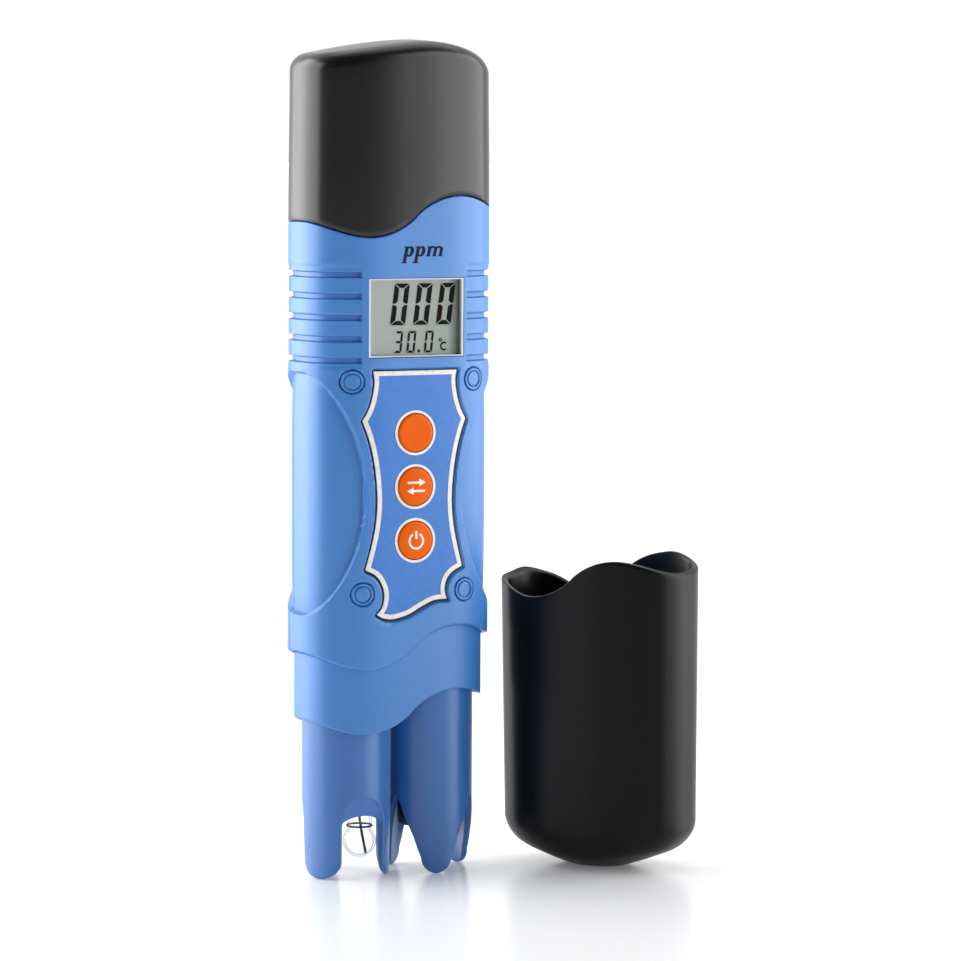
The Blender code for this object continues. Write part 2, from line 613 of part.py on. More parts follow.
def foot_rise(x, y):
    """Underside of the protective cap: a flat to stand on, rising outward."""
    u = max(0.0, math.hypot(x * 0.82, y * 1.1) - 5.6)
    return 6.6 * (u / 14.0) ** 1.15


def prot_rings(a, b, z_top, z_low, r, wall):
    rings = []
    for z in (z_top, PROT_RIM, 40.0, z_low):
        d = PROT_DRAFT * (PROT_RIM - z)
        rings.append([(x, y, z) for x, y in oval(a - d, b - d)])
    d = PROT_DRAFT * (PROT_RIM - z_low)
    for k in range(1, 5):
        ph = math.pi / 2 * k / 4
        ring = []
        for x, y in oval(a - d - r * (1 - math.cos(ph)), b - d - r * (1 - math.cos(ph))):
            ring.append((x, y, wall + foot_rise(x, y) + r * (1 - math.sin(ph))))
        rings.append(ring)
    for s in (0.75, 0.5):
        rings.append([(x, y, wall + foot_rise(x, y))
                      for x, y in oval((a - d - r) * s, (b - d - r) * s)])
    rings.append([(x, y, wall + foot_rise(x, y)) for x, y in
                  [(7.0 * math.cos(2 * math.pi * (i + 0.5) / OVAL_COUNT),
                    5.0 * math.sin(2 * math.pi * (i + 0.5) / OVAL_COUNT))
                   for i in range(OVAL_COUNT)]])
    return rings


pcap = loft("protective_cap", prot_rings(BODY_A, BODY_B, 80, 13.0, 4.6, 0.0))
combine(pcap, tool(wave_tool("above_rim", PROT_RIM, 1), cap_frame))
pbore = tool(loft("protective_bore", prot_rings(BODY_A - PROT_WALL, BODY_B - PROT_WALL, 90,
                                                15.0, 3.4, 2.0)), cap_frame)
combine(pcap, pbore)
keep(pcap, "protective_cap", BLACK, cap_frame)


# -------------------------------------------------------------- inner leads
def smooth_path(points, per=6):
    out = []
    P = [Vector(p) for p in points]
    P = [P[0] * 2 - P[1]] + P + [P[-1] * 2 - P[-2]]
    for i in range(1, len(P) - 2):
        for k in range(per):
            t = k / per
            a, b, c, d = P[i - 1], P[i], P[i + 1], P[i + 2]
            out.append(0.5 * ((2 * b) + (c - a) * t + (2 * a - 5 * b + 4 * c - d) * t * t
                              + (3 * b - a - 3 * c + d) * t ** 3))
    out.append(P[-2])
    return [tuple(v) for v in out]


keep(tube_curve("ph_lead", smooth_path([(PH_AT[0], 0, 52.9), (PH_AT[0] + 0.2, 0.2, 58),
                                        (-6.2, -0.5, 66), (-5.4, -3.2, 73),
                                        (-5.0, -4.9, 78)], 4), 0.6), "ph_lead", RUBBER)
keep(tube_curve("tds_lead", smooth_path([(TUBE_X, 0, 52.9), (TUBE_X - 0.4, 0.3, 58),
                                         (7.4, -0.5, 66), (-1.0, -3.2, 71),
                                         (-1.0, -4.9, 76)], 4), 0.6), "tds_lead", RUBBER)
for tag, x, colour in (("red", 1.9, ((0.6, 0.03, 0.03), 0.5)), ("black", -1.9, RUBBER)):
    keep(tube_curve("battery_lead", smooth_path(
        [(x, 0, 141.1), (x * 1.3, -0.6, 136), (x * 2.2, -3.0, 131), (x * 2.4, -5.1, 127)], 4),
        0.5), f"battery_lead_{tag}", colour)
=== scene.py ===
"""Looks of the digital water tester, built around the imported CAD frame.

Every outer piece is rebuilt as a fine mesh in the place its CAD node holds.
Lengths below are in millimetres in the meter's own frame (axis at 0, 0, the
display facing -Y) unless a name ends in _m.
"""

import math

import bmesh
import bpy
import numpy as np
from mathutils import Matrix, Vector


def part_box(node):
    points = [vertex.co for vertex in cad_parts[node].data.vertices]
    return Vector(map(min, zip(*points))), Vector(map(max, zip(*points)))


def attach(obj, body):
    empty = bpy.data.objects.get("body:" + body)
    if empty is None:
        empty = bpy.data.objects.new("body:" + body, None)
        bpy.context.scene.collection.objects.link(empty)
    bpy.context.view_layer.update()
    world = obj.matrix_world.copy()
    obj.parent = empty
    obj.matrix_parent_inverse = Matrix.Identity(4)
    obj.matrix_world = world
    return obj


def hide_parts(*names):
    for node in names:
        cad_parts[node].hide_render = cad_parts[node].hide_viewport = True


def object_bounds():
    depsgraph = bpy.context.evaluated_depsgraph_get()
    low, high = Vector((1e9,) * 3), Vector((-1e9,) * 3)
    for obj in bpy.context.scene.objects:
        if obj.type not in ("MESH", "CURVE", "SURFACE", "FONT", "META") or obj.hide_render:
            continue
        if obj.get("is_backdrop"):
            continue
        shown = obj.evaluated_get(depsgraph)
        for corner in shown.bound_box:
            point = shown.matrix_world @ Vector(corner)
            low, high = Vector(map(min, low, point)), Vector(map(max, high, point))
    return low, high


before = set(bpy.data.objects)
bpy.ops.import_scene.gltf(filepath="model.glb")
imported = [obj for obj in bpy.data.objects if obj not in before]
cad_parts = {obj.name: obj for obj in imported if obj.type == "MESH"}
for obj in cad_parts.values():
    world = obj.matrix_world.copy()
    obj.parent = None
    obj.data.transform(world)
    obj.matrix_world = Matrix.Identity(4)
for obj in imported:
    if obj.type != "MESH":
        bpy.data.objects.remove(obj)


def plain(value):
    if hasattr(value, "tolist"):
        return value.tolist()
    return [plain(v) if hasattr(v, "__len__") else float(v) for v in value]


CAD_BOX = plain(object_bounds())
MM = 0.001
PI = math.pi

lo, hi = (np.array(plain(c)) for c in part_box("button_cell_1"))
AX, AY = [float((lo[k] + hi[k]) / 2 / MM) for k in (0, 1)]      # meter axis
CAPX, CAPY = AX + 47.9, AY - 13.0                                # loose cap axis
CAP_TURN = math.radians(-58.0)

# ------------------------------------------------------------- dimensions
OVAL_N = 2.9
BODY_A, BODY_B, FRONT_FLAT = 23.1, 13.9, 13.65
COLLAR_A, COLLAR_B = 21.7, 12.5
TENON_A, TENON_B = 20.8, 11.3
SPLIT_Y = 4.0
TUBE_X, TUBE_R, TUBE_WALL = 10.5, 10.05, 1.65
WAVE_TOP, WAVE_LOW, WAVE_COLLAR = 149.5, 52.4, 37.9
GROOVE_Z = (136.52, 131.76, 127.0, 122.24, 117.48)
GROOVE_H, GROOVE_D, GROOVE_X = 1.28, 1.1, 13.2
LCD_X, LCD_ZC, LCD_W, LCD_H = 0.35, 126.87, 23.9, 17.75
KEY_Z, KEY_R = (101.1, 89.0, 76.9), 4.3
PLUG_AT = ((-15.2, 112.8), (15.2, 112.8), (-12.8, 65.2), (12.8, 65.2))
PH_AT = (-7.1, 0.0)
GRIP_Z = 87.3


def wave(x):
    """The S line shared by every joint, front view. Works on arrays."""
    x = np.asarray(x, float)
    return 4.6 * np.sign(x) * np.sin(PI / 2 * (np.abs(x) / 11.2) ** 0.84)


def smooth(e0, e1, v):
    t = np.clip((v - e0) / (e1 - e0), 0, 1)
    return t * t * (3 - 2 * t)


# ------------------------------------------------------------ mesh helpers
def new_object(name, verts, faces, body=None, where="meter", mat=None, sharp=35.0, smooth_on=True):
    """A mesh object in the row frame. verts are local millimetres."""
    v = np.asarray(verts, float)
    if where == "meter":
        w = v + np.array([AX, AY, 0.0])
    elif where == "cap":
        c, s = math.cos(CAP_TURN), math.sin(CAP_TURN)
        w = np.stack([v[:, 0] * c - v[:, 1] * s + CAPX, v[:, 0] * s + v[:, 1] * c + CAPY, v[:, 2]], 1)
    else:
        w = v
    me = bpy.data.meshes.new(name)
    me.from_pydata((w * MM).tolist(), [], [tuple(int(i) for i in f) for f in faces])
    me.validate(clean_customdata=False)
    me.update()
    ob = bpy.data.objects.new(name, me)
    bpy.context.scene.collection.objects.link(ob)
    if smooth_on:
        me.shade_smooth()
        if sharp is not None:
            me.set_sharp_from_angle(angle=math.radians(sharp))
    if mat is not None:
        me.materials.append(mat)
    if body is not None:
        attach(ob, body)
    return ob


def face_out(ob):
    """Points a closed mesh's faces outward."""
    bm = bmesh.new()
    bm.from_mesh(ob.data)
    bmesh.ops.recalc_face_normals(bm, faces=bm.faces)
    bm.to_mesh(ob.data)
    bm.free()
    return ob


class Section:
    """An oval section, sampled by arc length from the middle of the back."""

    def __init__(self, a, b, flat=None, n=OVAL_N):
        t = np.linspace(PI / 2, PI / 2 + 2 * PI, 24001)
        c, s = np.cos(t), np.sin(t)
        x = a * np.sign(c) * np.abs(c) ** (2 / n)
        y = b * np.sign(s) * np.abs(s) ** (2 / n)
        if flat is not None:
            k = 0.5
            h = np.clip(0.5 + 0.5 * (flat + y) / k, 0, 1)
            soft = -((-y) * h + flat * (1 - h) - k * h * (1 - h))
            y = np.where(y < 0, soft, y)
        d = np.hypot(np.diff(x), np.diff(y))
        s_ = np.concatenate([[0], np.cumsum(d)])
        keep = np.concatenate([[True], np.diff(s_) > 1e-9])
        self.s, self.x, self.y = s_[keep], x[keep], y[keep]
        self.length = float(self.s[-1])

    def at(self, s):
        s = np.asarray(s, float) % self.length
        e = 0.05
        x, y = np.interp(s, self.s, self.x), np.interp(s, self.s, self.y)
        x0, y0 = np.interp((s - e) % self.length, self.s, self.x), np.interp((s - e) % self.length, self.s, self.y)
        x1, y1 = np.interp((s + e) % self.length, self.s, self.x), np.interp((s + e) % self.length, self.s, self.y)
        tx, ty = x1 - x0, y1 - y0
        m = np.hypot(tx, ty)
        # the outline runs anticlockwise, so outward is (ty, -tx)
        return x, y, ty / m, -tx / m

    def s_of(self, x, front=True):
        """Arc length of the front (or back) point at x."""
        m = self.y < 0 if front else self.y >= 0
        xs, ss = self.x[m], self.s[m]
        o = np.argsort(xs, kind="stable")
        return float(np.interp(x, xs[o], ss[o]))


def merge_stops(base, stops, tol):
    """Adds exact stops to a rising list and drops neighbours nearer than tol."""
    stops = np.asarray(sorted(stops), float)
    keep = [v for v in base if np.min(np.abs(stops - v)) > tol] if len(stops) else list(base)
    return np.array(sorted(list(keep) + list(stops)))


def cyc(i, n):
    return i % n


def grid_faces(rows, cols, closed, offset=0, flip=False):
    out = []
    m = cols if closed else cols - 1
    for i in range(rows - 1):
        a0, b0 = offset + i * cols, offset + (i + 1) * cols
        for j in range(m):
            k = (j + 1) % cols
            f = (a0 + j, a0 + k, b0 + k, b0 + j)
            out.append(f[::-1] if flip else f)
    return out


def skin(rings, closed_profile=True):
    """Faces of a tube of rings, every ring closed; the stack closes on itself when closed_profile."""
    r, n = rings.shape[0], rings.shape[1]
    faces = grid_faces(r, n, True)
    if closed_profile:
        a0 = (r - 1) * n
        for j in range(n):
            k = (j + 1) % n
            faces.append((a0 + j, a0 + k, k, j))
    return rings.reshape(-1, 3), faces


# --------------------------------------------------------------- materials
def srgb(r, g, b):
    return [((c / 255) / 12.92) if c / 255 <= 0.04045 else (((c / 255) + 0.055) / 1.055) ** 2.4
            for c in (r, g, b)]


class Mat:
    """A small wrapper to build node materials with little typing."""

    def __init__(self, name):
        self.m = bpy.data.materials.new(name)
        self.m.use_nodes = True
        self.t = self.m.node_tree
        self.p = self.t.nodes["Principled BSDF"]
        self.out = self.t.nodes["Material Output"]
        self.co = self.t.nodes.new("ShaderNodeTexCoord").outputs["Object"]

    def node(self, kind, **kw):
        n = self.t.nodes.new(kind)
        for k, v in kw.items():
            setattr(n, k, v)
        return n

    def link(self, a, b):
        self.t.links.new(a, b)

    def noise(self, scale, detail=2.0, rough=0.5, stretch=None):
        n = self.node("ShaderNodeTexNoise")
        n.inputs["Scale"].default_value = scale
        n.inputs["Detail"].default_value = detail
        n.inputs["Roughness"].default_value = rough
        if stretch is not None:
            mp = self.node("ShaderNodeMapping")
            mp.inputs["Scale"].default_value = stretch
            self.link(self.co, mp.inputs["Vector"])
            self.link(mp.outputs["Vector"], n.inputs["Vector"])
        else:
            self.link(self.co, n.inputs["Vector"])
        return n.outputs["Fac"]

    def ramp(self, fac, stops):
        r = self.node("ShaderNodeValToRGB")
        el = r.color_ramp.elements
        while len(el) > 1:
            el.remove(el[-1])
        el[0].position, el[0].color = stops[0][0], (*stops[0][1], 1)
        for pos, col in stops[1:]:
            e = el.new(pos)
            e.color = (*col, 1)
        self.link(fac, r.inputs["Fac"])
        return r.outputs["Color"]

    def span(self, fac, a, b, lo=0.0, hi=1.0):
        r = self.node("ShaderNodeMapRange")
        r.inputs["From Min"].default_value = lo
        r.inputs["From Max"].default_value = hi
        r.inputs["To Min"].default_value = a
        r.inputs["To Max"].default_value = b
        self.link(fac, r.inputs["Value"])
        return r.outputs["Result"]

    def mix(self, fac, a, b, how="MIX"):
        n = self.node("ShaderNodeMix", data_type="RGBA", blend_type=how)
        for key, v in (("Factor", fac), ("A", a), ("B", b)):
            sock = [s for s in n.inputs if s.name == key and s.enabled][0] if key == "Factor" else \
                [s for s in n.inputs if s.name == key and s.type == "RGBA"][0]
            if hasattr(v, "links") or hasattr(v, "is_linked"):
                self.link(v, sock)
            elif key == "Factor":
                sock.default_value = v
            else:
                sock.default_value = (*v, 1)
        return [s for s in n.outputs if s.type == "RGBA"][0]

    def bump(self, height, strength, distance, normal=None):
        b = self.node("ShaderNodeBump")
        b.inputs["Strength"].default_value = strength
        b.inputs["Distance"].default_value = distance
        self.link(height, b.inputs["Height"])
        if normal is not None:
            self.link(normal, b.inputs["Normal"])
        return b.outputs["Normal"]


def moulded(name, colour, rough, grain=1800.0, grain_depth=0.00001, vary=0.05, edge=None,
            spec=0.5, coat=0.0, sheen=0.0):
    """Moulded plastic: spark-eroded grain, soft blotches of tone and gloss, edges lightened partly as wear and partly
    as a painted highlight.
    """
    k = Mat(name)
    blotch = k.noise(55.0, 3.0, 0.55)
    streak = k.noise(30.0, 2.0, 0.5, stretch=(1.0, 1.0, 0.25))
    dark = [c * (1 - vary) for c in colour]
    light = [min(1.0, c * (1 + vary)) for c in colour]
    col = k.ramp(k.span(blotch, 0, 1, 0.3, 0.7), [(0.0, dark), (1.0, light)])
    if edge is not None:
        # Pointiness lightens convex edges: partly wear, partly a painted highlight along them.
        g = k.node("ShaderNodeNewGeometry")
        edge_wear_and_highlight_mask = k.span(g.outputs["Pointiness"], 0.0, 1.0, 0.53, 0.62)
        edge_wear_and_highlight = k.node("ShaderNodeMath", operation="MULTIPLY")
        k.link(edge_wear_and_highlight_mask, edge_wear_and_highlight.inputs[0])
        k.link(k.span(k.noise(420.0, 2.0), 0.35, 0.8, 0.35, 0.7), edge_wear_and_highlight.inputs[1])
        col = k.mix(edge_wear_and_highlight.outputs[0], col, edge)
    k.link(col, k.p.inputs["Base Color"])
    k.link(k.span(streak, rough * 0.9, rough * 1.1, 0.3, 0.7), k.p.inputs["Roughness"])
    k.p.inputs["Specular IOR Level"].default_value = spec
    if coat:
        k.p.inputs["Coat Weight"].default_value = coat
        k.p.inputs["Coat Roughness"].default_value = 0.15
    if sheen:
        k.p.inputs["Sheen Weight"].default_value = sheen
        k.p.inputs["Sheen Roughness"].default_value = 0.35
        k.p.inputs["Sheen Tint"].default_value = (0.72, 0.86, 1.0, 1.0)
    fine = k.noise(grain, 2.0, 0.6)
    k.link(k.bump(fine, 0.35, grain_depth), k.p.inputs["Normal"])
    return k.m


def metal(name, colour, rough, stretch=(1, 1, 8)):
    k = Mat(name)
    brushed = k.noise(900.0, 3.0, 0.6, stretch=stretch)
    spots = k.noise(160.0, 3.0, 0.6)
    k.link(k.ramp(k.span(spots, 0, 1, 0.3, 0.75), [(0.0, [c * 0.86 for c in colour]), (1.0, colour)]),
           k.p.inputs["Base Color"])
    k.p.inputs["Metallic"].default_value = 1.0
    k.link(k.span(brushed, rough * 0.75, rough * 1.3, 0.3, 0.7), k.p.inputs["Roughness"])
    k.link(k.bump(brushed, 0.2, 0.00001), k.p.inputs["Normal"])
    return k.m


def printed(name, colour, speck, rough=0.5, scale=900.0, amount=0.12):
    """Ink on a film: flat colour with a fine dot texture."""
    k = Mat(name)
    dots = k.noise(scale, 3.0, 0.7)
    k.link(k.ramp(k.span(dots, 0, 1, 0.42, 0.72), [(0.0, colour), (1.0, [c * (1 - amount) + s * amount
                                                                       for c, s in zip(colour, speck)])]),
           k.p.inputs["Base Color"])
    k.link(k.span(k.noise(70.0), rough * 0.9, rough * 1.1, 0.3, 0.7), k.p.inputs["Roughness"])
    k.link(k.bump(dots, 0.12, 0.00001), k.p.inputs["Normal"])
    return k.m


def clear(name, tint, rough=0.02, face=0.03, rim=0.5, power=4.0, shade=1.0):
    """Thin clear material: seen through straight, with Fresnel gloss."""
    k = Mat(name)
    k.t.nodes.remove(k.p)
    see = k.node("ShaderNodeBsdfTransparent")
    gloss = k.node("ShaderNodeBsdfGlossy")
    gloss.inputs["Roughness"].default_value = rough
    gloss.inputs["Color"].default_value = (1, 1, 1, 1)
    lw = k.node("ShaderNodeLayerWeight")
    lw.inputs["Blend"].default_value = 0.5
    wob = k.bump(k.noise(140.0), 0.05, 0.00005)
    k.link(wob, gloss.inputs["Normal"])
    pw = k.node("ShaderNodeMath", operation="POWER")
    k.link(lw.outputs["Facing"], pw.inputs[0])
    pw.inputs[1].default_value = power
    k.link(k.ramp(pw.outputs[0], [(0.0, tint), (1.0, [c * shade for c in tint])]), see.inputs["Color"])
    fac = k.span(pw.outputs[0], face, rim)
    mx = k.node("ShaderNodeMixShader")
    k.link(fac, mx.inputs[0])
    k.link(see.outputs[0], mx.inputs[1])
    k.link(gloss.outputs[0], mx.inputs[2])
    k.link(mx.outputs[0], k.out.inputs["Surface"])
    return k.m


BLUE = moulded("blue_casing", srgb(56, 125, 200), 0.42, vary=0.035, spec=0.8)
# The casing's blue made darker for the guard tubes: painted shade, since they are lit less than the casing.
BLUE_GUARD_SHADED = moulded("blue_guard_painted_shade", srgb(45, 107, 180), 0.36, vary=0.04, spec=0.8, sheen=0.6)
BLACK = moulded("black_cap", srgb(11, 11, 13), 0.27, grain=2400, vary=0.10)
BLACK_LOOSE = moulded("black_protective_cap", srgb(8, 8, 11), 0.30, grain=2400, vary=0.10, spec=0.17)
BLACK_IN = moulded("probe_black", srgb(22, 22, 24), 0.42, vary=0.12)
# Its edges lighten towards the given grey, partly as wear and partly as a painted highlight.
HOLDER = moulded("holder_black", srgb(44, 44, 47), 0.5, vary=0.12, edge=srgb(90, 90, 92))
PRINT_BLUE = printed("panel_blue", srgb(56, 122, 204), srgb(110, 160, 225), 0.42)
PRINT_WHITE = printed("panel_border", srgb(243, 237, 230), srgb(205, 196, 186), 0.5, amount=0.45)
ORANGE = moulded("key_orange", srgb(236, 98, 0), 0.42, vary=0.05, spec=0.12)
ICON = printed("icon_white", srgb(246, 240, 232), srgb(215, 205, 195), 0.5)
INK = printed("ink_navy", srgb(12, 26, 52), srgb(24, 42, 74), 0.6)
INK.node_tree.nodes["Principled BSDF"].inputs["Specular IOR Level"].default_value = 0.15
BEZEL = moulded("bezel_light", srgb(214, 218, 222), 0.4, vary=0.03)
SEG = printed("lcd_segment", srgb(20, 12, 13), srgb(36, 28, 30), 0.6, amount=0.3)
SEG.node_tree.nodes["Principled BSDF"].inputs["Specular IOR Level"].default_value = 0.1
STEEL = metal("steel", srgb(200, 200, 203), 0.28)
NICKEL = metal("cell_nickel", srgb(215, 214, 210), 0.22, stretch=(1, 1, 1))
BRASS = metal("contact_brass", srgb(214, 180, 110), 0.25)
RUBBER = moulded("seal_rubber", srgb(30, 30, 30), 0.62, vary=0.15)
RED = moulded("lead_red", srgb(170, 28, 24), 0.5, vary=0.08)
PCB = moulded("board_green", srgb(20, 92, 48), 0.35, vary=0.12)
CHIP = moulded("chip_black", srgb(28, 28, 30), 0.5, vary=0.1)
ZEBRA = moulded("zebra_pink", srgb(205, 150, 156), 0.6, vary=0.1)
VIOLET = moulded("bulb_ring_violet", srgb(58, 44, 120), 0.25, vary=0.1)
WINDOW = clear("window_clear", (0.98, 0.985, 0.985), 0.05, 0.0, 0.3, 5.0)
GLASS = clear("bulb_glass", (0.975, 0.975, 0.985), 0.02, 0.03, 0.5, 4.0, 0.3)


def lcd_material():
    """Grey reflective back of a liquid-crystal cell, with a painted shadow darkening its right edge."""
    k = Mat("lcd_grey")
    sep = k.node("ShaderNodeSeparateXYZ")
    k.link(k.co, sep.inputs[0])
    across = k.span(sep.outputs["X"], 0.0, 1.0, (AX - 12) * MM, (AX + 12) * MM)
    grain = k.noise(2600.0, 2.0, 0.7)
    # Painted shadow: the last stops darken the cell's right edge, where the window's right wall shades it.
    base = k.ramp(across, [(0.0, srgb(176, 178, 176)), (0.45, srgb(172, 177, 172)), (0.86, srgb(164, 172, 164)),
                          (0.93, srgb(120, 126, 120)), (1.0, srgb(62, 66, 63))])
    col = k.mix(k.span(grain, 0.0, 0.16, 0.3, 0.7), base, srgb(150, 158, 150))
    k.link(col, k.p.inputs["Base Color"])
    k.p.inputs["Specular IOR Level"].default_value = 0.1
    k.p.inputs["Roughness"].default_value = 0.45
    k.link(k.bump(grain, 0.1, 0.00001), k.p.inputs["Normal"])
    return k.m


LCD = lcd_material()


# ------------------------------------------------------- outlines on the front
def catmull(points, per=8, closed=False):
    P = [np.array(p, float) for p in points]
    if not closed:
        P = [2 * P[0] - P[1]] + P + [2 * P[-1] - P[-2]]
        rng = range(1, len(P) - 2)
    out = []
    for i in rng:
        a, b, c, d = P[i - 1], P[i], P[i + 1], P[i + 2]
        for q in range(per):
            t = q / per
            out.append(0.5 * ((2 * b) + (c - a) * t + (2 * a - 5 * b + 4 * c - d) * t * t
                              + (3 * b - a - 3 * c + d) * t ** 3))
    out.append(P[-2])
    return out


def panel_outline():
    """The key panel: smooth runs that meet in corners, clockwise from the top left."""
    up = [(10.45, 115.1), (10.15, 112.6), (10.65, 109.2), (11.6, 106.4), (12.95, 104.0)]
    side = [(12.95, 104.0), (11.75, 101.0), (10.6, 96.9), (9.75, 92.0), (9.35, 86.0), (9.8, 80.4),
            (10.8, 75.7), (12.2, 70.6)]
    notch_r = [(12.2, 70.6), (9.6, 69.4), (8.1, 67.7), (7.6, 65.5), (8.15, 63.3)]
    bottom = [(8.15, 63.3), (4.8, 63.1), (1.4, 61.7), (-1.6, 60.2), (-5.3, 59.35), (-7.8, 59.6), (-9.5, 60.5)]
    notch_l = [(-9.5, 60.5), (-8.1, 62.2), (-7.6, 64.7), (-8.1, 67.0), (-9.6, 69.2), (-12.2, 70.6)]
    runs = [[(-10.45, 115.1), (10.45, 115.1)], up, side, notch_r, bottom, notch_l,
            [(-x, z) for x, z in reversed(side)], [(-x, z) for x, z in reversed(up)]]
    out = []
    for r in runs:
        pts = catmull(r, 7) if len(r) > 2 else [np.array(r[0], float), np.array(r[1], float)]
        out += pts[:-1]
    return np.array(out)


def offset_poly(poly, d):
    """Moves a closed outline inward by d, with mitred corners."""
    n = len(poly)
    prv, nxt = np.roll(poly, 1, 0), np.roll(poly, -1, 0)
    e0, e1 = poly - prv, nxt - poly
    e0 /= np.linalg.norm(e0, axis=1)[:, None]
    e1 /= np.linalg.norm(e1, axis=1)[:, None]
    area = 0.5 * np.sum(poly[:, 0] * nxt[:, 1] - nxt[:, 0] * poly[:, 1])
    sgn = 1.0 if area > 0 else -1.0
    n0 = np.stack([-e0[:, 1], e0[:, 0]], 1) * sgn
    n1 = np.stack([-e1[:, 1], e1[:, 0]], 1) * sgn
    b = n0 + n1
    m = np.linalg.norm(b, axis=1)[:, None]
    b /= np.maximum(m, 1e-6)
    c = np.sum(b * n1, 1)[:, None]
    return poly + b * d / np.maximum(c, 0.45)


def signed_distance(px, pz, poly):
    """Distance to a closed outline, negative inside. px, pz flat arrays."""
    q = np.stack([px, pz], 1)
    best = np.full(len(q), 1e9)
    inside = np.zeros(len(q), bool)
    n = len(poly)
    for i in range(n):
        a, b = poly[i], poly[(i + 1) % n]
        ab = b - a
        t = np.clip(((q - a) @ ab) / max(ab @ ab, 1e-12), 0, 1)
        d = q - a - t[:, None] * ab
        best = np.minimum(best, np.hypot(d[:, 0], d[:, 1]))
        cond = (a[1] > q[:, 1]) != (b[1] > q[:, 1])
        with np.errstate(divide="ignore", invalid="ignore"):
            xi = a[0] + (q[:, 1] - a[1]) / (b[1] - a[1]) * (b[0] - a[0])
        inside ^= cond & (q[:, 0] < xi)
    return np.where(inside, -best, best)


PANEL = panel_outline()
BODY = Section(BODY_A, BODY_B, FRONT_FLAT)
_front = BODY.y < 0
_fx, _fy = BODY.x[_front], BODY.y[_front]
_o = np.argsort(_fx, kind="stable")
_fx, _fy = _fx[_o], _fy[_o]


def front_y(x):
    """Depth of the untouched casing front at x."""
    return np.interp(x, _fx, _fy)


# ------------------------------------------------------------- the casing
def relief(x, y, z, s):
    """How deep the casing's outer skin lies under the plain oval, in mm."""
    d = np.zeros_like(x)
    ax_ = np.abs(x)
    # finger grooves
    for gz in GROOVE_Z:
        band = 1 - smooth(GROOVE_H / 2 - 0.16, GROOVE_H / 2 + 0.14, np.abs(z - gz))
        d = np.maximum(d, GROOVE_D * band * smooth(GROOVE_X - 0.14, GROOVE_X + 0.14, ax_))
    # the flat between the grooves stands a little proud
    proud = smooth(13.15, 13.5, ax_) * smooth(115.4, 116.2, z) * (1 - smooth(138.2, 139.0, z))
    d = np.maximum(d, 0.13 * proud)
    # hollow flanks
    u = np.abs(z - GRIP_Z) / 27.0
    edge = 12.1 + 10.7 * u ** 2.2
    slope = 10.7 * 2.2 * u ** 1.2 / 27.0
    ds = 0.05
    x1 = np.interp((s + ds) % BODY.length, BODY.s, BODY.x)
    dxds = (x1 - x) / ds
    f = (ax_ - edge) / np.sqrt(dxds ** 2 + slope ** 2 + 1e-3)
    f = np.where(u > 1.02, -1.0, f)
    deep = 0.9 + 0.42 * np.exp(-np.clip(f, 0, 30) / 4.0)
    d = np.maximum(d, deep * np.where(y > 0, smooth(-0.10, 0.50, f), smooth(-0.10, 0.36, f)))
    return d


def front_relief(x, y, z, s):
    d = relief(x, y, z, s)
    near = (y < -10) & (z > 55) & (z < 120) & (np.abs(x) < 16)
    sd = np.full(x.shape, 9.0)
    sd[near] = signed_distance(x[near] - 0.16, z[near] + 0.16, PANEL)
    d = np.maximum(d, 0.95 * (1 - smooth(0.34, 0.70, sd)))
    # display window
    wx, wz = np.abs(x - LCD_X) - LCD_W / 2, np.abs(z - LCD_ZC) - LCD_H / 2
    box = np.maximum(wx, wz)
    d = np.where((box < 0.02) & (y < 0), 1.9, d)
    # key wells and screw plug seats
    for kz in KEY_Z:
        r = np.hypot(x, z - kz)
        d = np.where(y < 0, np.maximum(d, 2.4 * (1 - smooth(KEY_R + 0.12, KEY_R + 0.3, r))), d)
    for px, pz in PLUG_AT:
        r = np.hypot(x - px, z - pz)
        d = np.where(y < 0, np.maximum(d, 1.0 * (1 - smooth(2.52, 2.78, r))), d)
    return d


def split_s():
    m = BODY.x < 0
    left = float(np.interp(-SPLIT_Y, -BODY.y[m], BODY.s[m]))
    m = BODY.x > 0
    o = np.argsort(BODY.y[m])
    right = float(np.interp(SPLIT_Y, BODY.y[m][o], BODY.s[m][o]))
    return left, right


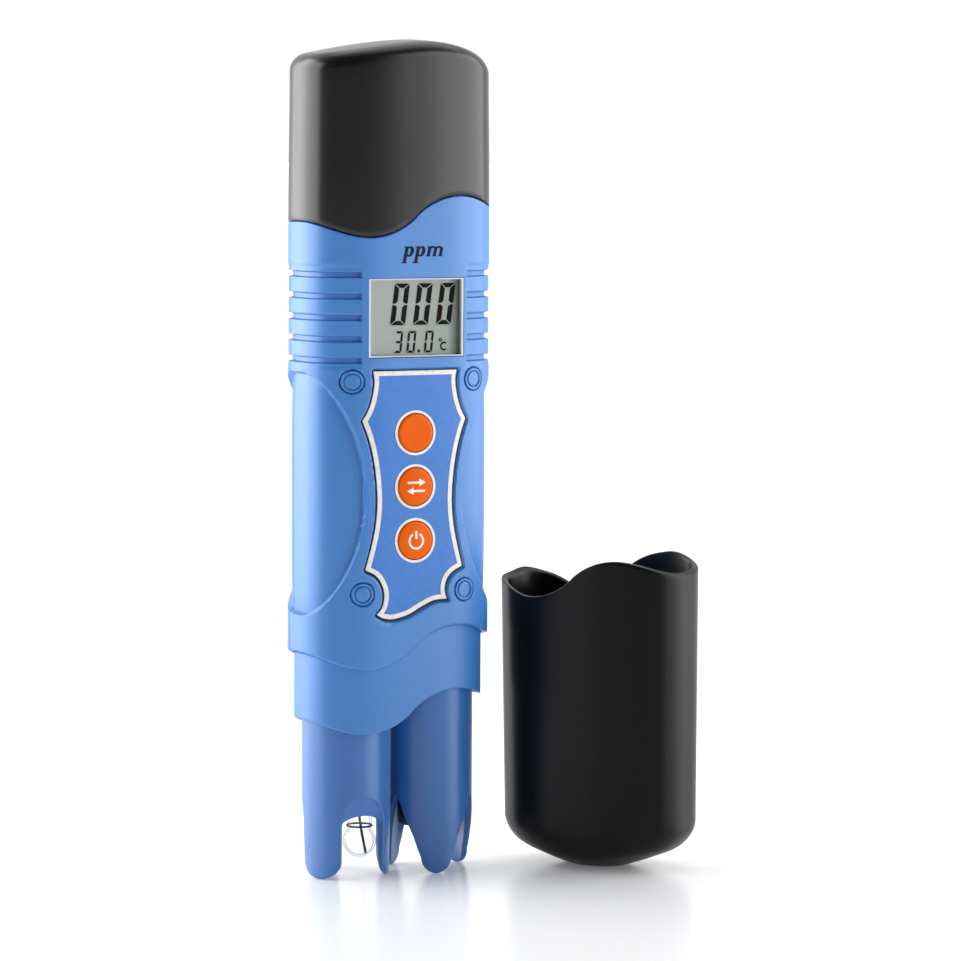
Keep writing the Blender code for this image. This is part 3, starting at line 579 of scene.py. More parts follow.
def casing(name, s0, s1, depth, col_stops, row_stops, step_c, step_r, node):
    cols = np.linspace(s0, s1, int((s1 - s0) / step_c) + 1)
    edge_c = [s0, s0 + 0.06, s0 + 0.18, s1 - 0.18, s1 - 0.06, s1]
    cols = merge_stops(cols, sorted(set(edge_c + [c for c in col_stops if s0 < c < s1])), 0.035)
    mid = np.linspace(58.6, 143, int(84.4 / step_r) + 1)
    mid = merge_stops(mid, row_stops, 0.03)
    low_d = np.array([0, 0.03, 0.09, 0.18, 0.3, 0.45, 0.62, 0.8, 0.95, 1.2])
    top_d = np.array([0.8, 0.5, 0.28, 0.14, 0.05, 0.0])
    bx, by, nx, ny = BODY.at(cols)
    w1, w0 = WAVE_LOW + 0.15 + wave(np.clip(bx, -24, 24)), WAVE_TOP - 0.15 + wave(np.clip(bx, -24, 24))
    rows_z, rows_e0, rows_e1 = [], [], []
    for e in low_d:
        rows_z.append(w1 + e)
        rows_e0.append(np.full_like(bx, e))
        rows_e1.append(np.full_like(bx, 9.0))
    for t in np.linspace(0, 1, 14)[1:-1]:
        rows_z.append((w1 + 1.2) * (1 - t) + 58.6 * t)
        rows_e0.append(np.full_like(bx, 9.0))
        rows_e1.append(np.full_like(bx, 9.0))
    for z in mid:
        rows_z.append(np.full_like(bx, z))
        rows_e0.append(np.full_like(bx, 9.0))
        rows_e1.append(np.full_like(bx, 9.0))
    for t in np.linspace(0, 1, 8)[1:-1]:
        rows_z.append(143 * (1 - t) + (w0 - 0.8) * t)
        rows_e0.append(np.full_like(bx, 9.0))
        rows_e1.append(np.full_like(bx, 9.0))
    for e in top_d:
        rows_z.append(w0 - e)
        rows_e0.append(np.full_like(bx, 9.0))
        rows_e1.append(np.full_like(bx, e))
    Z = np.array(rows_z)
    E0, E1 = np.array(rows_e0), np.array(rows_e1)
    R, C = Z.shape
    X, Y = np.broadcast_to(bx, Z.shape), np.broadcast_to(by, Z.shape)
    NX, NY = np.broadcast_to(nx, Z.shape), np.broadcast_to(ny, Z.shape)
    S = np.broadcast_to(cols, Z.shape)
    D = depth(X.ravel().copy(), Y.ravel().copy(), Z.ravel(), S.ravel() % BODY.length).reshape(Z.shape)

    def roll(e, r):
        q = np.clip(r - e, 0, r)
        return r - np.sqrt(np.maximum(r * r - q * q, 0))
    side = np.minimum(cols - s0, s1 - cols)
    D = D + roll(E0, 0.6) + roll(E1, 0.3) + np.broadcast_to(roll(side, 0.16), Z.shape)
    outer = np.stack([X - NX * D, Y - NY * D, Z], 2)
    ri = sorted(set(list(range(0, R, 6)) + [R - 1]))
    ci = sorted(set(list(range(0, C, 6)) + [C - 1]))
    T = np.empty((len(ri), len(ci)))
    for a, r in enumerate(ri):
        for b, c in enumerate(ci):
            T[a, b] = max(2.0, D[max(0, r - 7):r + 8, max(0, c - 7):c + 8].max() + 0.6)
    T[-1, :] = 2.0
    T[:, 0] = T[:, -1] = 2.0
    T[0, :] = T[1, :] = 1.3
    sub = np.ix_(ri, ci)
    inner = np.stack([X[sub] - NX[sub] * T, Y[sub] - NY[sub] * T, Z[sub]], 2)
    verts = np.concatenate([outer.reshape(-1, 3), inner.reshape(-1, 3)])
    faces = grid_faces(R, C, False)
    off, ic = R * C, len(ci)
    for a in range(len(ri) - 1):
        for b in range(ic - 1):
            v = off + a * ic + b
            faces.append((v, v + ic, v + ic + 1, v + 1))
    for b in range(ic - 1):
        c0, c1 = ci[b], ci[b + 1]
        faces.append(tuple([off + b + 1, off + b] + list(range(c0, c1 + 1)))[::-1])
        base = (R - 1) * C
        faces.append(tuple([off + (len(ri) - 1) * ic + b + 1, off + (len(ri) - 1) * ic + b]
                           + [base + c for c in range(c0, c1 + 1)]))
    for a in range(len(ri) - 1):
        r0, r1 = ri[a], ri[a + 1]
        faces.append(tuple([off + (a + 1) * ic, off + a * ic] + [r * C for r in range(r0, r1 + 1)]))
        faces.append(tuple([off + (a + 1) * ic + ic - 1, off + a * ic + ic - 1]
                           + [r * C + C - 1 for r in range(r0, r1 + 1)])[::-1])
    ob = new_object(name, verts, faces, "meter", mat=BLUE, sharp=50)
    face_out(ob)
    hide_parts(node)
    return ob


sl, sr = split_s()
gx = [GROOVE_X + e for e in (-0.16, -0.06, 0.06, 0.16)]
stops = [BODY.s_of(sgn * v) for v in gx for sgn in (-1, 1)]
stops += [BODY.s_of(LCD_X + sgn * v) for v in (LCD_W / 2, LCD_W / 2 + 0.05) for sgn in (-1, 1)]
back_stops = [BODY.s_of(sgn * v, front=False) + (0 if sgn < 0 else 0) for v in gx for sgn in (-1, 1)]
rows = [z + sg * (GROOVE_H / 2 + e) for z in GROOVE_Z for sg in (-1, 1) for e in (-0.17, -0.06, 0.05, 0.15)]
rows_f = rows + [LCD_ZC + sg * (LCD_H / 2 + e) for sg in (-1, 1) for e in (0.0, 0.05)]
casing("casing_front", sl + 0.03, sr - 0.03, front_relief, stops, rows_f, 0.29, 0.31, "front_shell")
casing("casing_rear", sr + 0.03, sl + BODY.length - 0.03, relief,
       [b if b > sr else b + BODY.length for b in back_stops], rows, 0.30, 0.31, "rear_shell")


# ----------------------------------------------------------- closed lofts
def ring(sec, count, dz, scale=1.0, inset=0.0, zf=None):
    s = np.linspace(0, sec.length, count, endpoint=False)
    x, y, nx, ny = sec.at(s)
    x, y = (x - nx * inset) * scale, (y - ny * inset) * scale
    z = zf(x, y) + dz if zf is not None else np.full_like(x, dz)
    return np.stack([x, y, z], 1)


def capped(name, rings, tip_a, tip_b, where, mat, body, node, sharp=40):
    """A stack of rings closed by a point at each end."""
    R = np.array(rings)
    r, n = R.shape[:2]
    verts = np.concatenate([R.reshape(-1, 3), [tip_a], [tip_b]])
    faces = grid_faces(r, n, True)
    a, b = r * n, r * n + 1
    for j in range(n):
        k = (j + 1) % n
        faces.append((a, k, j))
        faces.append((b, (r - 1) * n + j, (r - 1) * n + k))
    ob = new_object(name, verts, faces, body, where, mat, sharp)
    face_out(ob)
    if node:
        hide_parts(node)
    return ob


def crown(x, y, b=BODY_B):
    """Fall of the battery cap's top from its ridge."""
    x, y = np.asarray(x, float), np.asarray(y, float)
    left = 3.6 * (np.clip(3.2 - x, 0, None) / 24.0) ** 1.45
    right = 4.6 * (np.clip(x - 3.2, 0, None) / 18.5) ** 2.1
    return left + right + 0.9 * (y / b) ** 2


def battery_cap():
    n, top = 460, 189.0
    sec = Section(BODY_A, BODY_B)
    sin_ = Section(21.5, 12.3)
    low = lambda x, y: WAVE_TOP + 0.15 + wave(np.clip(x, -24, 24))
    rings = []
    for e, ins in ((0.0, 0.22), (0.06, 0.10), (0.2, 0.0), (1.2, 0.0)):
        rings.append(ring(sec, n, e, inset=ins, zf=low))
    for t in np.linspace(0, 1, 9)[1:]:
        a = ring(sec, n, 1.2, zf=low)
        z_end = top - crown(a[:, 0], a[:, 1]) - 3.2
        a[:, 2] = a[:, 2] * (1 - t) + z_end * t
        pull = 0.32 * smooth(0.0, 1.0, t)
        rr = ring(sec, n, 0, inset=pull)
        rr[:, 2] = a[:, 2]
        rings.append(rr)
    r = 3.2
    for q in range(1, 13):
        ph = PI / 2 * q / 12
        ins = 0.32 + r * (1 - math.cos(ph))
        rr = ring(sec, n, 0, inset=ins)
        rr[:, 2] = top - crown(rr[:, 0], rr[:, 1]) - r * (1 - math.sin(ph))
        rings.append(rr)
    base = rings[-1]
    for sc in np.linspace(1, 0, 15)[1:-1]:
        rr = base.copy()
        rr[:, :2] *= sc
        rr[:, 2] = top - crown(rr[:, 0], rr[:, 1])
        rings.append(rr)
    tip_b = (0, 0, top - float(crown(0, 0)))
    inner = []
    wall = 2.0
    for sc in np.linspace(0, 1, 8)[1:-1]:
        rr = ring(sin_, n, 0, inset=2.5)
        rr[:, :2] *= sc
        rr[:, 2] = top - wall - crown(rr[:, 0], rr[:, 1])
        inner.append(rr)
    for q in range(5, -1, -1):
        ph = PI / 2 * q / 5
        rr = ring(sin_, n, 0, inset=0.4 + 2.0 * (1 - math.cos(ph)))
        rr[:, 2] = top - wall - crown(rr[:, 0], rr[:, 1]) - 2.0 * (1 - math.sin(ph))
        inner.append(rr)
    for e, ins in ((0.5, 0.0), (0.12, 0.0), (0.0, -0.1)):
        inner.append(ring(sin_, n, e, inset=ins, zf=low))
    # order: tip (inner centre) -> inner wall -> rim -> outer wall -> crown
    return capped("battery_cap_shell", inner + rings, (0, 0, top - wall - float(crown(0, 0))), tip_b,
                  "meter", BLACK, "battery_cap", "battery_cap")


battery_cap()


def foot_rise(x, y):
    u = np.clip(np.hypot(np.asarray(x) * 0.82, np.asarray(y) * 1.1) - 5.6, 0, None)
    return 6.6 * (u / 14.0) ** 1.15


def protective_cap():
    n, rim, draft = 480, 67.0, 0.0105
    sec, inn = Section(BODY_A, BODY_B), Section(BODY_A - 1.35, BODY_B - 1.35)
    edge = lambda x, y: (rim + wave(np.clip(x, -24, 24))
                         + smooth(11.5, 18.5, -x) * (0.55 + 0.95 * smooth(-3.0, 6.0, y))
                         + 0.5 * smooth(8, 14, x) * smooth(-2, 6, y))
    rings = []

    def wall(section, z_rel, extra=0.0):
        """A ring z_rel below the rim, with the taper of its height."""
        a = ring(section, n, 0)
        z = edge(a[:, 0], a[:, 1]) - z_rel
        s = np.linspace(0, section.length, n, endpoint=False)
        x, y, nx, ny = section.at(s)
        ins = draft * (rim - z) + extra
        return np.stack([x - nx * ins, y - ny * ins, z], 1)

    inner = []
    z_low, r_in = 15.0, 3.4
    d = draft * (rim - z_low)
    for sc in np.linspace(0, 1, 9)[1:-1]:
        rr = ring(inn, n, 0, inset=d + r_in)
        rr[:, :2] *= sc
        rr[:, 2] = 2.0 + foot_rise(rr[:, 0], rr[:, 1])
        inner.append(rr)
    for q in range(6, -1, -1):
        ph = PI / 2 * q / 6
        rr = ring(inn, n, 0, inset=d + r_in * (1 - math.cos(ph)))
        rr[:, 2] = 2.0 + foot_rise(rr[:, 0], rr[:, 1]) + r_in * (1 - math.sin(ph))
        inner.append(rr)
    for t in np.linspace(0, 1, 10)[1:]:
        top_ring = wall(inn, 1.0)
        s = np.linspace(0, inn.length, n, endpoint=False)
        x, y, nx, ny = inn.at(s)
        zz = inner[13][:, 2] * (1 - t) + top_ring[:, 2] * t
        ins = draft * (rim - zz)
        inner.append(np.stack([x - nx * ins, y - ny * ins, zz], 1))
    for rel, ex in ((0.3, 0.0), (0.1, -0.07), (0.0, -0.25)):
        inner.append(wall(inn, rel, ex))
    for rel, ex in ((0.0, 0.25), (0.1, 0.07), (0.3, 0.0), (1.0, 0.0)):
        rings.append(wall(sec, rel, ex))
    r = 4.6
    z_low = 13.0
    d = draft * (rim - z_low)
    shoulder = []
    for q in range(0, 11):
        ph = PI / 2 * q / 10
        rr = ring(sec, n, 0, inset=d + r * (1 - math.cos(ph)))
        rr[:, 2] = foot_rise(rr[:, 0], rr[:, 1]) + r * (1 - math.sin(ph))
        shoulder.append(rr)
    start = rings[-1]
    s = np.linspace(0, sec.length, n, endpoint=False)
    x, y, nx, ny = sec.at(s)
    for t in np.linspace(0, 1, 14)[1:-1]:
        zz = start[:, 2] * (1 - t) + shoulder[0][:, 2] * t
        ins = draft * (rim - np.maximum(zz, z_low))
        rings.append(np.stack([x - nx * ins, y - ny * ins, zz], 1))
    rings += shoulder
    last = rings[-1]
    for sc in np.linspace(1, 0, 14)[1:-1]:
        rr = last.copy()
        rr[:, :2] *= sc
        rr[:, 2] = foot_rise(rr[:, 0], rr[:, 1])
        rings.append(rr)
    # it stands a little out of plumb
    ang = math.radians(-28.0) - CAP_TURN
    for rr in inner + rings:
        lean = 0.62 * (1 - rr[:, 2] / rim) * smooth(0, 10, rr[:, 2])
        rr[:, 0] += lean * math.cos(ang)
        rr[:, 1] += lean * math.sin(ang)
    return capped("protective_cap_shell", inner + rings, (0, 0, 2.0), (0, 0, 0.0),
                  "cap", BLACK_LOOSE, "protective_cap", "protective_cap")


protective_cap()


# --------------------------------------------------------- closed tube lofts
def torus_loft(name, rings, where, mat, body, node, sharp=40):
    """Rings joined in a loop: outer wall, rim, inner wall, rim."""
    R = np.array(rings)
    r, n = R.shape[:2]
    faces = []
    for i in range(r):
        a, b = i * n, ((i + 1) % r) * n
        for j in range(n):
            k = (j + 1) % n
            faces.append((a + j, a + k, b + k, b + j))
    ob = new_object(name, R.reshape(-1, 3), faces, body, where, mat, sharp)
    face_out(ob)
    for nd in ([node] if isinstance(node, str) else (node or [])):
        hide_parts(nd)
    return ob


def sensor_collar():
    n = 420
    out, ten, poc = Section(COLLAR_A, COLLAR_B), Section(TENON_A, TENON_B), Section(20.9, 11.35)
    up = Section(TENON_A - 1.6, TENON_B - 1.6)
    low = lambda x, y: WAVE_COLLAR + wave(np.clip(x, -24, 24))
    high = lambda x, y: WAVE_LOW + 0.55 + wave(np.clip(x, -24, 24))
    rings = []
    for sc in np.linspace(0, 1, 6)[1:]:
        rr = ring(poc, n, 46.0)
        rr[:, :2] *= sc
        rings.append(rr)
    for e, ins in ((0.5, 0.0), (0.15, 0.0), (0.04, -0.05), (0.0, -0.18)):
        rings.append(ring(poc, n, e, inset=ins, zf=low))
    for e, ins in ((0.0, 0.32), (0.03, 0.2), (0.09, 0.1), (0.2, 0.03), (0.34, 0.0), (0.5, 0.0), (0.8, 0.0)):
        rings.append(ring(out, n, e, inset=ins, zf=low))
    a, b = ring(out, n, 0.8, zf=low), ring(out, n, -0.2, zf=high)
    for t in np.linspace(0, 1, 14)[1:]:
        rings.append(a * (1 - t) + b * t)
    rings.append(ring(out, n, 0.0, inset=0.2, zf=high))
    rings.append(ring(ten, n, 0.0, zf=high))
    rings += [ring(ten, n, z, inset=i) for z, i in ((57.3, 0), (57.4, 0.1), (57.45, 1.1), (58.95, 1.1),
                                                    (59.0, 0.1), (59.1, 0), (59.8, 0), (60.0, 0.25))]
    rings += [ring(up, n, 60.0), ring(up, n, 49.0)]
    for sc in np.linspace(1, 0, 6)[1:-1]:
        rr = ring(up, n, 49.0)
        rr[:, :2] *= sc
        rings.append(rr)
    return capped("sensor_collar_moulding", rings, (0, 0, 46.0), (0, 0, 49.0), "meter", BLUE,
                  "meter", "sensor_collar")


sensor_collar()


def neck_tube():
    n = 360
    o, i = Section(TENON_A, TENON_B), Section(19.4, 9.9)
    rings = [ring(o, n, z, inset=k) for z, k in ((141.0, 0.3), (141.3, 0), (158.1, 0), (158.2, 0.1), (158.25, 1.0),
                                                 (159.75, 1.0), (159.8, 0.1), (159.9, 0), (170, 0), (180.9, 0),
                                                 (181.3, 0.12), (181.5, 0.4))]
    rings += [ring(i, n, z, inset=k) for z, k in ((181.5, -0.3), (181.3, -0.08), (181.0, 0), (160, 0), (141.0, 0))]
    return torus_loft("neck_sleeve", rings, "meter", BLUE, "meter", "battery_neck")


neck_tube()


# --------------------------------------------------------------- guard tubes
def resample(pts, n):
    P = np.array(pts, float)
    d = np.concatenate([[0], np.cumsum(np.hypot(*np.diff(P, axis=0).T))])
    t = np.linspace(0, d[-1], n)
    return np.stack([np.interp(t, d, P[:, 0]), np.interp(t, d, P[:, 1])], 1)


def guard_tube(name, cx, centres, opening, tip, scoop, node, height=45.7):
    """opening: points (x, z) from the middle of an opening to the foot of its side; tip: height of a leg's round end."""
    ro, wall, rb = TUBE_R, TUBE_WALL, 0.38
    O = resample(opening, 46)
    O_a = np.degrees(np.arcsin(O[:, 0] / ro))
    count = len(centres)
    cols = []
    for i, c in enumerate(centres):
        prev_mid = (centres[i - 1] - c) % 360 - 360
        next_mid = (centres[(i + 1) % count] - c) % 360
        sides = []
        for mid in (-prev_mid / 2, next_mid / 2):
            a0, z0 = O_a[-1], O[-1, 1]
            t = np.linspace(0, PI / 2, 24)[1:]
            ta = a0 + (mid - a0) * (1 - np.cos(t))
            tz = z0 * (1 - np.sin(t)) ** tip
            sides.append((np.concatenate([O_a, ta]), np.concatenate([O[:, 1], tz])))
        (la, lz), (ra, rz) = sides
        A = np.concatenate([-la[::-1], ra[1:]])[:-1]
        Z = np.concatenate([lz[::-1], rz[1:]])[:-1]
        X = np.radians(A) * ro
        tx, tz = np.gradient(X), np.gradient(Z)
        tx[0], tz[0] = 1, 0
        m = np.hypot(tx, tz)
        nx, nz = -tz / m, tx / m
        rot = math.radians(c + 90)
        for j in range(len(A)):
            x, z, ux, uz = X[j], Z[j], nx[j], nz[j]
            chord = ro * math.sin(math.radians(min(90, abs(A[j]))))
            sc = scoop * math.sqrt(max(0.0, 1 - (chord / 5.3) ** 2)) if scoop else 0.0
            col = []

            def at(px, pz, depth):
                taper = 0.30 * (1 - float(smooth(0.0, 14.0, np.array(pz)))) * (1 - depth / wall)
                r = ro - depth - taper
                ang = px / ro + rot - PI / 2
                return (cx + r * math.cos(ang), r * math.sin(ang), pz)

            x0, z0 = x + ux * rb, z + uz * rb
            for t in np.linspace(0, 1, 15):
                f = (1 - t) ** 1.2
                col.append(at(x0, height * f + z0 * (1 - f), 0.0))
            for q in range(1, 6):
                ph = PI / 2 * q / 5
                k = rb * (1 - math.sin(ph))
                col.append(at(x + ux * k, z + uz * k, rb * (1 - math.cos(ph))))
            d0, d1 = rb, wall - 0.2
            for t in (0.2, 0.4, 0.6, 0.8, 1.0):
                col.append(at(x, z - sc * t ** 0.75, d0 + (d1 - d0) * t))
            ki = 0.2
            col.append(at(x + ux * ki * 0.3, z - sc + uz * ki * 0.3, wall - 0.06))
            col.append(at(x + ux * ki, z - sc + uz * ki, wall))
            zi = z - sc + uz * ki
            for t in np.linspace(0, 1, 13)[1:]:
                col.append(at(x + ux * ki, zi * (1 - t) + height * t, wall))
            cols.append(col)
    R = np.array(cols).transpose(1, 0, 2)
    return torus_loft(name, R, "meter", BLUE_GUARD_SHADED, "meter", node, sharp=48)


arch = [(5.3 * math.sin(t), 12.2 + 6.3 * math.cos(t)) for t in np.linspace(0, PI / 2 - 0.04, 22)]
arch += [(5.31 + 0.008 * k, 11.0 - 1.15 * k) for k in range(0, 7)]
guard_tube("ph_guard", -TUBE_X, (-90, 42, 138), arch, 1.0, 4.1, "ph_guard_tube")
vee = [(0.0, 17.5), (0.2, 17.4), (0.5, 17.0), (0.9, 16.3), (1.5, 15.1), (2.4, 13.3), (3.33, 11.3), (4.7, 8.2),
       (5.57, 5.4), (6.25, 3.5)]
guard_tube("tds_guard", TUBE_X, (-45, 75, 195), vee, 1.0, 0.0, "tds_guard_tube")


# -------------------------------------------------------------- turned parts
def lathe(name, profile, at, mat, node, n=64, where="meter", body="meter", sharp=38):
    """profile: (radius, z) from one pole to the other, or a closed loop of radii above zero."""
    P = np.array(profile, float)
    ang = np.linspace(0, 2 * PI, n, endpoint=False)
    if P[0, 0] > 1e-6:
        rings = [np.stack([at[0] + r * np.cos(ang), at[1] + r * np.sin(ang), np.full(n, z)], 1) for r, z in P]
        return torus_loft(name, rings, where, mat, body, node, sharp)
    rings = [np.stack([at[0] + r * np.cos(ang), at[1] + r * np.sin(ang), np.full(n, z)], 1) for r, z in P[1:-1]]
    return capped(name, rings, (at[0], at[1], P[0, 1]), (at[0], at[1], P[-1, 1]), where, mat, body, node, sharp)


bz, br, sr_ = 7.3, 3.8, 2.95
lead_a = math.asin(2.7 / br)
angs = np.linspace(lead_a, PI, 26)
glass = [(sr_, 44.0), (sr_, 14.0), (sr_ - 0.04, 12.1), (sr_ - 0.14, 11.1), (sr_ - 0.22, 10.4)]
glass += [(br * math.sin(t), bz + br * math.cos(t)) for t in angs[:-1]] + [(0.02, bz - br)]
w = 0.42
glass += [(0.02, bz - br + w)] + [((br - w) * math.sin(t), bz + (br - w) * math.cos(t)) for t in angs[::-1][1:]]
glass += [(sr_ - 0.22 - w, 10.5), (sr_ - 0.14 - w, 11.2), (sr_ - w, 14.0), (sr_ - w, 44.0)]
lathe("glass_bulb", glass, PH_AT, GLASS, "ph_glass_bulb", 72)
lathe("bulb_ring", [(2.84, 11.0), (2.96, 10.98), (3.04, 10.9), (3.07, 10.78), (3.04, 10.66), (2.96, 10.58), (2.84, 10.56)],
      PH_AT, VIOLET, "ph_bulb_collar", 72)
lathe("electrode_sleeve", [(3.3, 44.3), (3.3, 22.2), (3.5, 22.0), (4.7, 22.0), (5.0, 22.3), (5.0, 49.3), (6.0, 49.3),
                           (6.0, 51.0), (5.0, 51.0), (5.0, 52.5), (1.2, 52.5), (1.2, 44.3)], PH_AT, BLACK_IN,
      "ph_electrode_sleeve", 64)
lathe("conductivity_probe", [(0.0, 10.0), (5.8, 10.0), (6.4, 10.1), (6.8, 10.45), (7.0, 11.0), (7.0, 49.3), (8.0, 49.3),
                             (8.0, 51.0), (4.0, 51.0), (4.0, 52.5), (0.0, 52.5)], (TUBE_X, 0), BLACK_IN,
      "tds_probe_body", 64)
for tag, dx in (("left", -2.6), ("right", 2.6)):
    lathe("sensing_pin_" + tag, [(0, 5.0), (0.4, 5.02), (0.66, 5.2), (0.8, 5.6), (0.8, 19.6), (0, 19.6)],
          (TUBE_X + dx, -1.2), STEEL, "tds_pin_" + tag, 32)
lathe("thermistor_tip", [(0, 5.0), (0.5, 5.05), (0.9, 5.5), (1.1, 6.2), (1.1, 21.6), (0, 21.6)], (TUBE_X, 3.0), STEEL,
      "temperature_sensor", 32)


def wire(name, pts, r, mat, node, n=12):
    P = [np.array(p, float) for p in pts]
    P = np.array(catmull(P, 6)) if len(P) > 2 else np.array(P)
    T = np.gradient(P, axis=0)
    T /= np.linalg.norm(T, axis=1)[:, None]
    rings = []
    for p, t in zip(P, T):
        u = np.cross(t, (1.0, 0.2, 0.0))
        u /= np.linalg.norm(u)
        v = np.cross(t, u)
        a = np.linspace(0, 2 * PI, n, endpoint=False)
        rings.append(p + r * (np.cos(a)[:, None] * u + np.sin(a)[:, None] * v))
    return capped(name, rings, P[0], P[-1], "meter", mat, "meter", node)


wire("reference_wire", [(PH_AT[0], 0, 42), (PH_AT[0], 0, 24), (PH_AT[0] - 0.1, 0, 15), (PH_AT[0] + 0.35, -0.1, 10.2),
                        (PH_AT[0] + 1.55, -0.2, 4.2)], 0.3, BLACK_IN, "ph_reference_wire")


# ---------------------------------------------------- thin plates on the front
def plate(name, loops, y_of, thick, mat, body="meter", node=None, grid=1.2, dome=None, sharp=30,
          bevel=0.0):
    """A thin plate: loops[0] is its outline, later loops are holes (x, z). y_of gives the front face's depth."""
    from mathutils.geometry import delaunay_2d_cdt
    pts, edges = [], []
    for lp in loops:
        b = len(pts)
        pts += [(float(x), float(z)) for x, z in lp]
        edges += [(b + i, b + (i + 1) % len(lp)) for i in range(len(lp))]
    outer = np.array(loops[0])
    holes = [np.array(h) for h in loops[1:]]
    x0, z0, x1, z1 = *outer.min(0), *outer.max(0)
    gx_, gz_ = np.meshgrid(np.arange(x0 + grid / 2, x1, grid), np.arange(z0 + grid / 2, z1, grid))
    gx_, gz_ = gx_.ravel(), gz_.ravel()
    if len(gx_):
        ok = signed_distance(gx_, gz_, outer) < -grid * 0.3
        for h in holes:
            ok &= signed_distance(gx_, gz_, h) > grid * 0.3
        pts += [(float(a), float(b)) for a, b in zip(gx_[ok], gz_[ok])]
    v, e, f, *_ = delaunay_2d_cdt([Vector(p) for p in pts], edges, [], 2, 1e-5)
    P = np.array([(p[0], p[1]) for p in v])
    q = np.array([P[list(t)].mean(0) for t in f])
    keep = signed_distance(q[:, 0], q[:, 1], outer) <= 0
    for h in holes:
        keep &= signed_distance(q[:, 0], q[:, 1], h) >= 0
    F = [tuple(t) for t, ok_ in zip(f, keep) if ok_]
    used = sorted({i for t in F for i in t})
    re = {o: i for i, o in enumerate(used)}
    P = P[used]
    F = [tuple(re[i] for i in t) for t in F]
    y = y_of(P[:, 0], P[:, 1])
    n = len(P)
    verts = np.concatenate([np.stack([P[:, 0], y, P[:, 1]], 1), np.stack([P[:, 0], y + thick, P[:, 1]], 1)])
    faces = [t for t in F] + [tuple(i + n for i in reversed(t)) for t in F]
    count = {}
    for t in F:
        for i in range(3):
            a, b = t[i], t[(i + 1) % 3]
            count[(min(a, b), max(a, b))] = count.get((min(a, b), max(a, b)), 0) + 1
    for t in F:
        for i in range(3):
            a, b = t[i], t[(i + 1) % 3]
            if count[(min(a, b), max(a, b))] == 1:
                faces.append((b, a, a + n, b + n))
    ob = new_object(name, verts, faces, body, "meter", mat, sharp)
    face_out(ob)
    if node:
        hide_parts(node)
    return ob


def circle(cx, cz, r, n=72):
    t = np.linspace(0, 2 * PI, n, endpoint=False)
    return np.stack([cx + r * np.cos(t), cz + r * np.sin(t)], 1)


film_y = lambda x, z: front_y(x) + 0.22
FILM = offset_poly(PANEL, 0.06)
BAND = offset_poly(PANEL, 1.08)
holes = [circle(0, z, KEY_R + 0.25) for z in KEY_Z]
# A dark navy sheet on the recess floor, set right of and below the panel: painted shadow along the panel's right and
# bottom edges.
RECESS_SHADOW_NAVY = printed("panel_recess_shadow", srgb(14, 26, 52), srgb(24, 40, 70), 0.6)
plate("panel_recess_shadow", [offset_poly(PANEL, -0.30) + [0.16, -0.16], offset_poly(PANEL, 0.8)],
      lambda x, z: front_y(x) + 0.56, 0.22, RECESS_SHADOW_NAVY)
plate("panel_border", [FILM, BAND], lambda x, z: front_y(x) + 0.16, 0.34, PRINT_WHITE, node=None)
plate("panel_film", [offset_poly(PANEL, 1.06)] + holes, film_y, 0.30, PRINT_BLUE, node="membrane_overlay")
for tag, z in zip(("select", "mode", "power"), KEY_Z):
    plate("key_surround_" + tag, [circle(0, z, 5.06), circle(0, z, 4.48)], lambda x, z: front_y(x) + 0.10, 0.10,
          PRINT_WHITE)


def key(tag, kz, domed):
    """An orange cap: domed disc with a rounded edge, a stem behind it."""
    n = 96
    t = np.linspace(0, 2 * PI, n, endpoint=False)
    face = -13.78
    prof = [(4.3, 1.75), (4.3, 0.42), (4.22, 0.18), (4.05, 0.05), (3.8, 0.0)]
    prof += [(r, -domed * (1 - (r / 3.8) ** 2)) for r in (3.3, 2.7, 2.0, 1.3, 0.6)]
    rings = [np.stack([r * np.cos(t), np.full(n, face + dy), kz + r * np.sin(t)], 1) for r, dy in
             [(1.7, 4.6), (1.7, 3.3), (3.2, 3.3), (3.2, 1.75)] + prof]
    return capped("key_cap_" + tag, rings, (0, face + 4.6, kz), (0, face - domed, kz), "meter", ORANGE, tag + "_key",
                  "key_" + tag, 40)


key("select", KEY_Z[0], 0.0)
key("mode", KEY_Z[1], 0.30)
key("power", KEY_Z[2], 0.30)


def key_face(kz, domed):
    return lambda x, z: -13.78 - domed * np.clip(1 - (np.hypot(x, z - kz) / 3.8) ** 2, 0, 1) - 0.05


def arc_band(cx, cz, r0, r1, a0, a1, n=40):
    t = np.radians(np.linspace(a0, a1, n))
    o = np.stack([cx + r1 * np.cos(t), cz + r1 * np.sin(t)], 1)
    i = np.stack([cx + r0 * np.cos(t), cz + r0 * np.sin(t)], 1)[::-1]
    return np.concatenate([o, i])


z3 = KEY_Z[2]
plate("power_icon_ring", [arc_band(0, z3 - 0.1, 1.45, 1.95, 118, 422)], key_face(z3, 0.30), 0.12, ICON, body="power_key",
      grid=0.6)
plate("power_icon_bar", [np.array([(-0.26, z3 + 0.35), (0.26, z3 + 0.35), (0.26, z3 + 2.15), (-0.26, z3 + 2.15)])],
      key_face(z3, 0.30), 0.12, ICON, body="power_key", grid=0.6)
z2 = KEY_Z[1]
for i, sg in enumerate((1, -1)):
    c = z2 + sg * 0.95
    arrow = np.array([(-2.2, c - 0.24), (0.7, c - 0.24), (0.7, c - 0.85), (2.35, c), (0.7, c + 0.85), (0.7, c + 0.24),
                      (-2.2, c + 0.24)])
    arrow[:, 0] *= sg
    if sg < 0:
        arrow = arrow[::-1]
    plate(f"mode_icon_arrow_{i}", [arrow], key_face(z2, 0.30), 0.12, ICON, body="mode_key", grid=0.6)


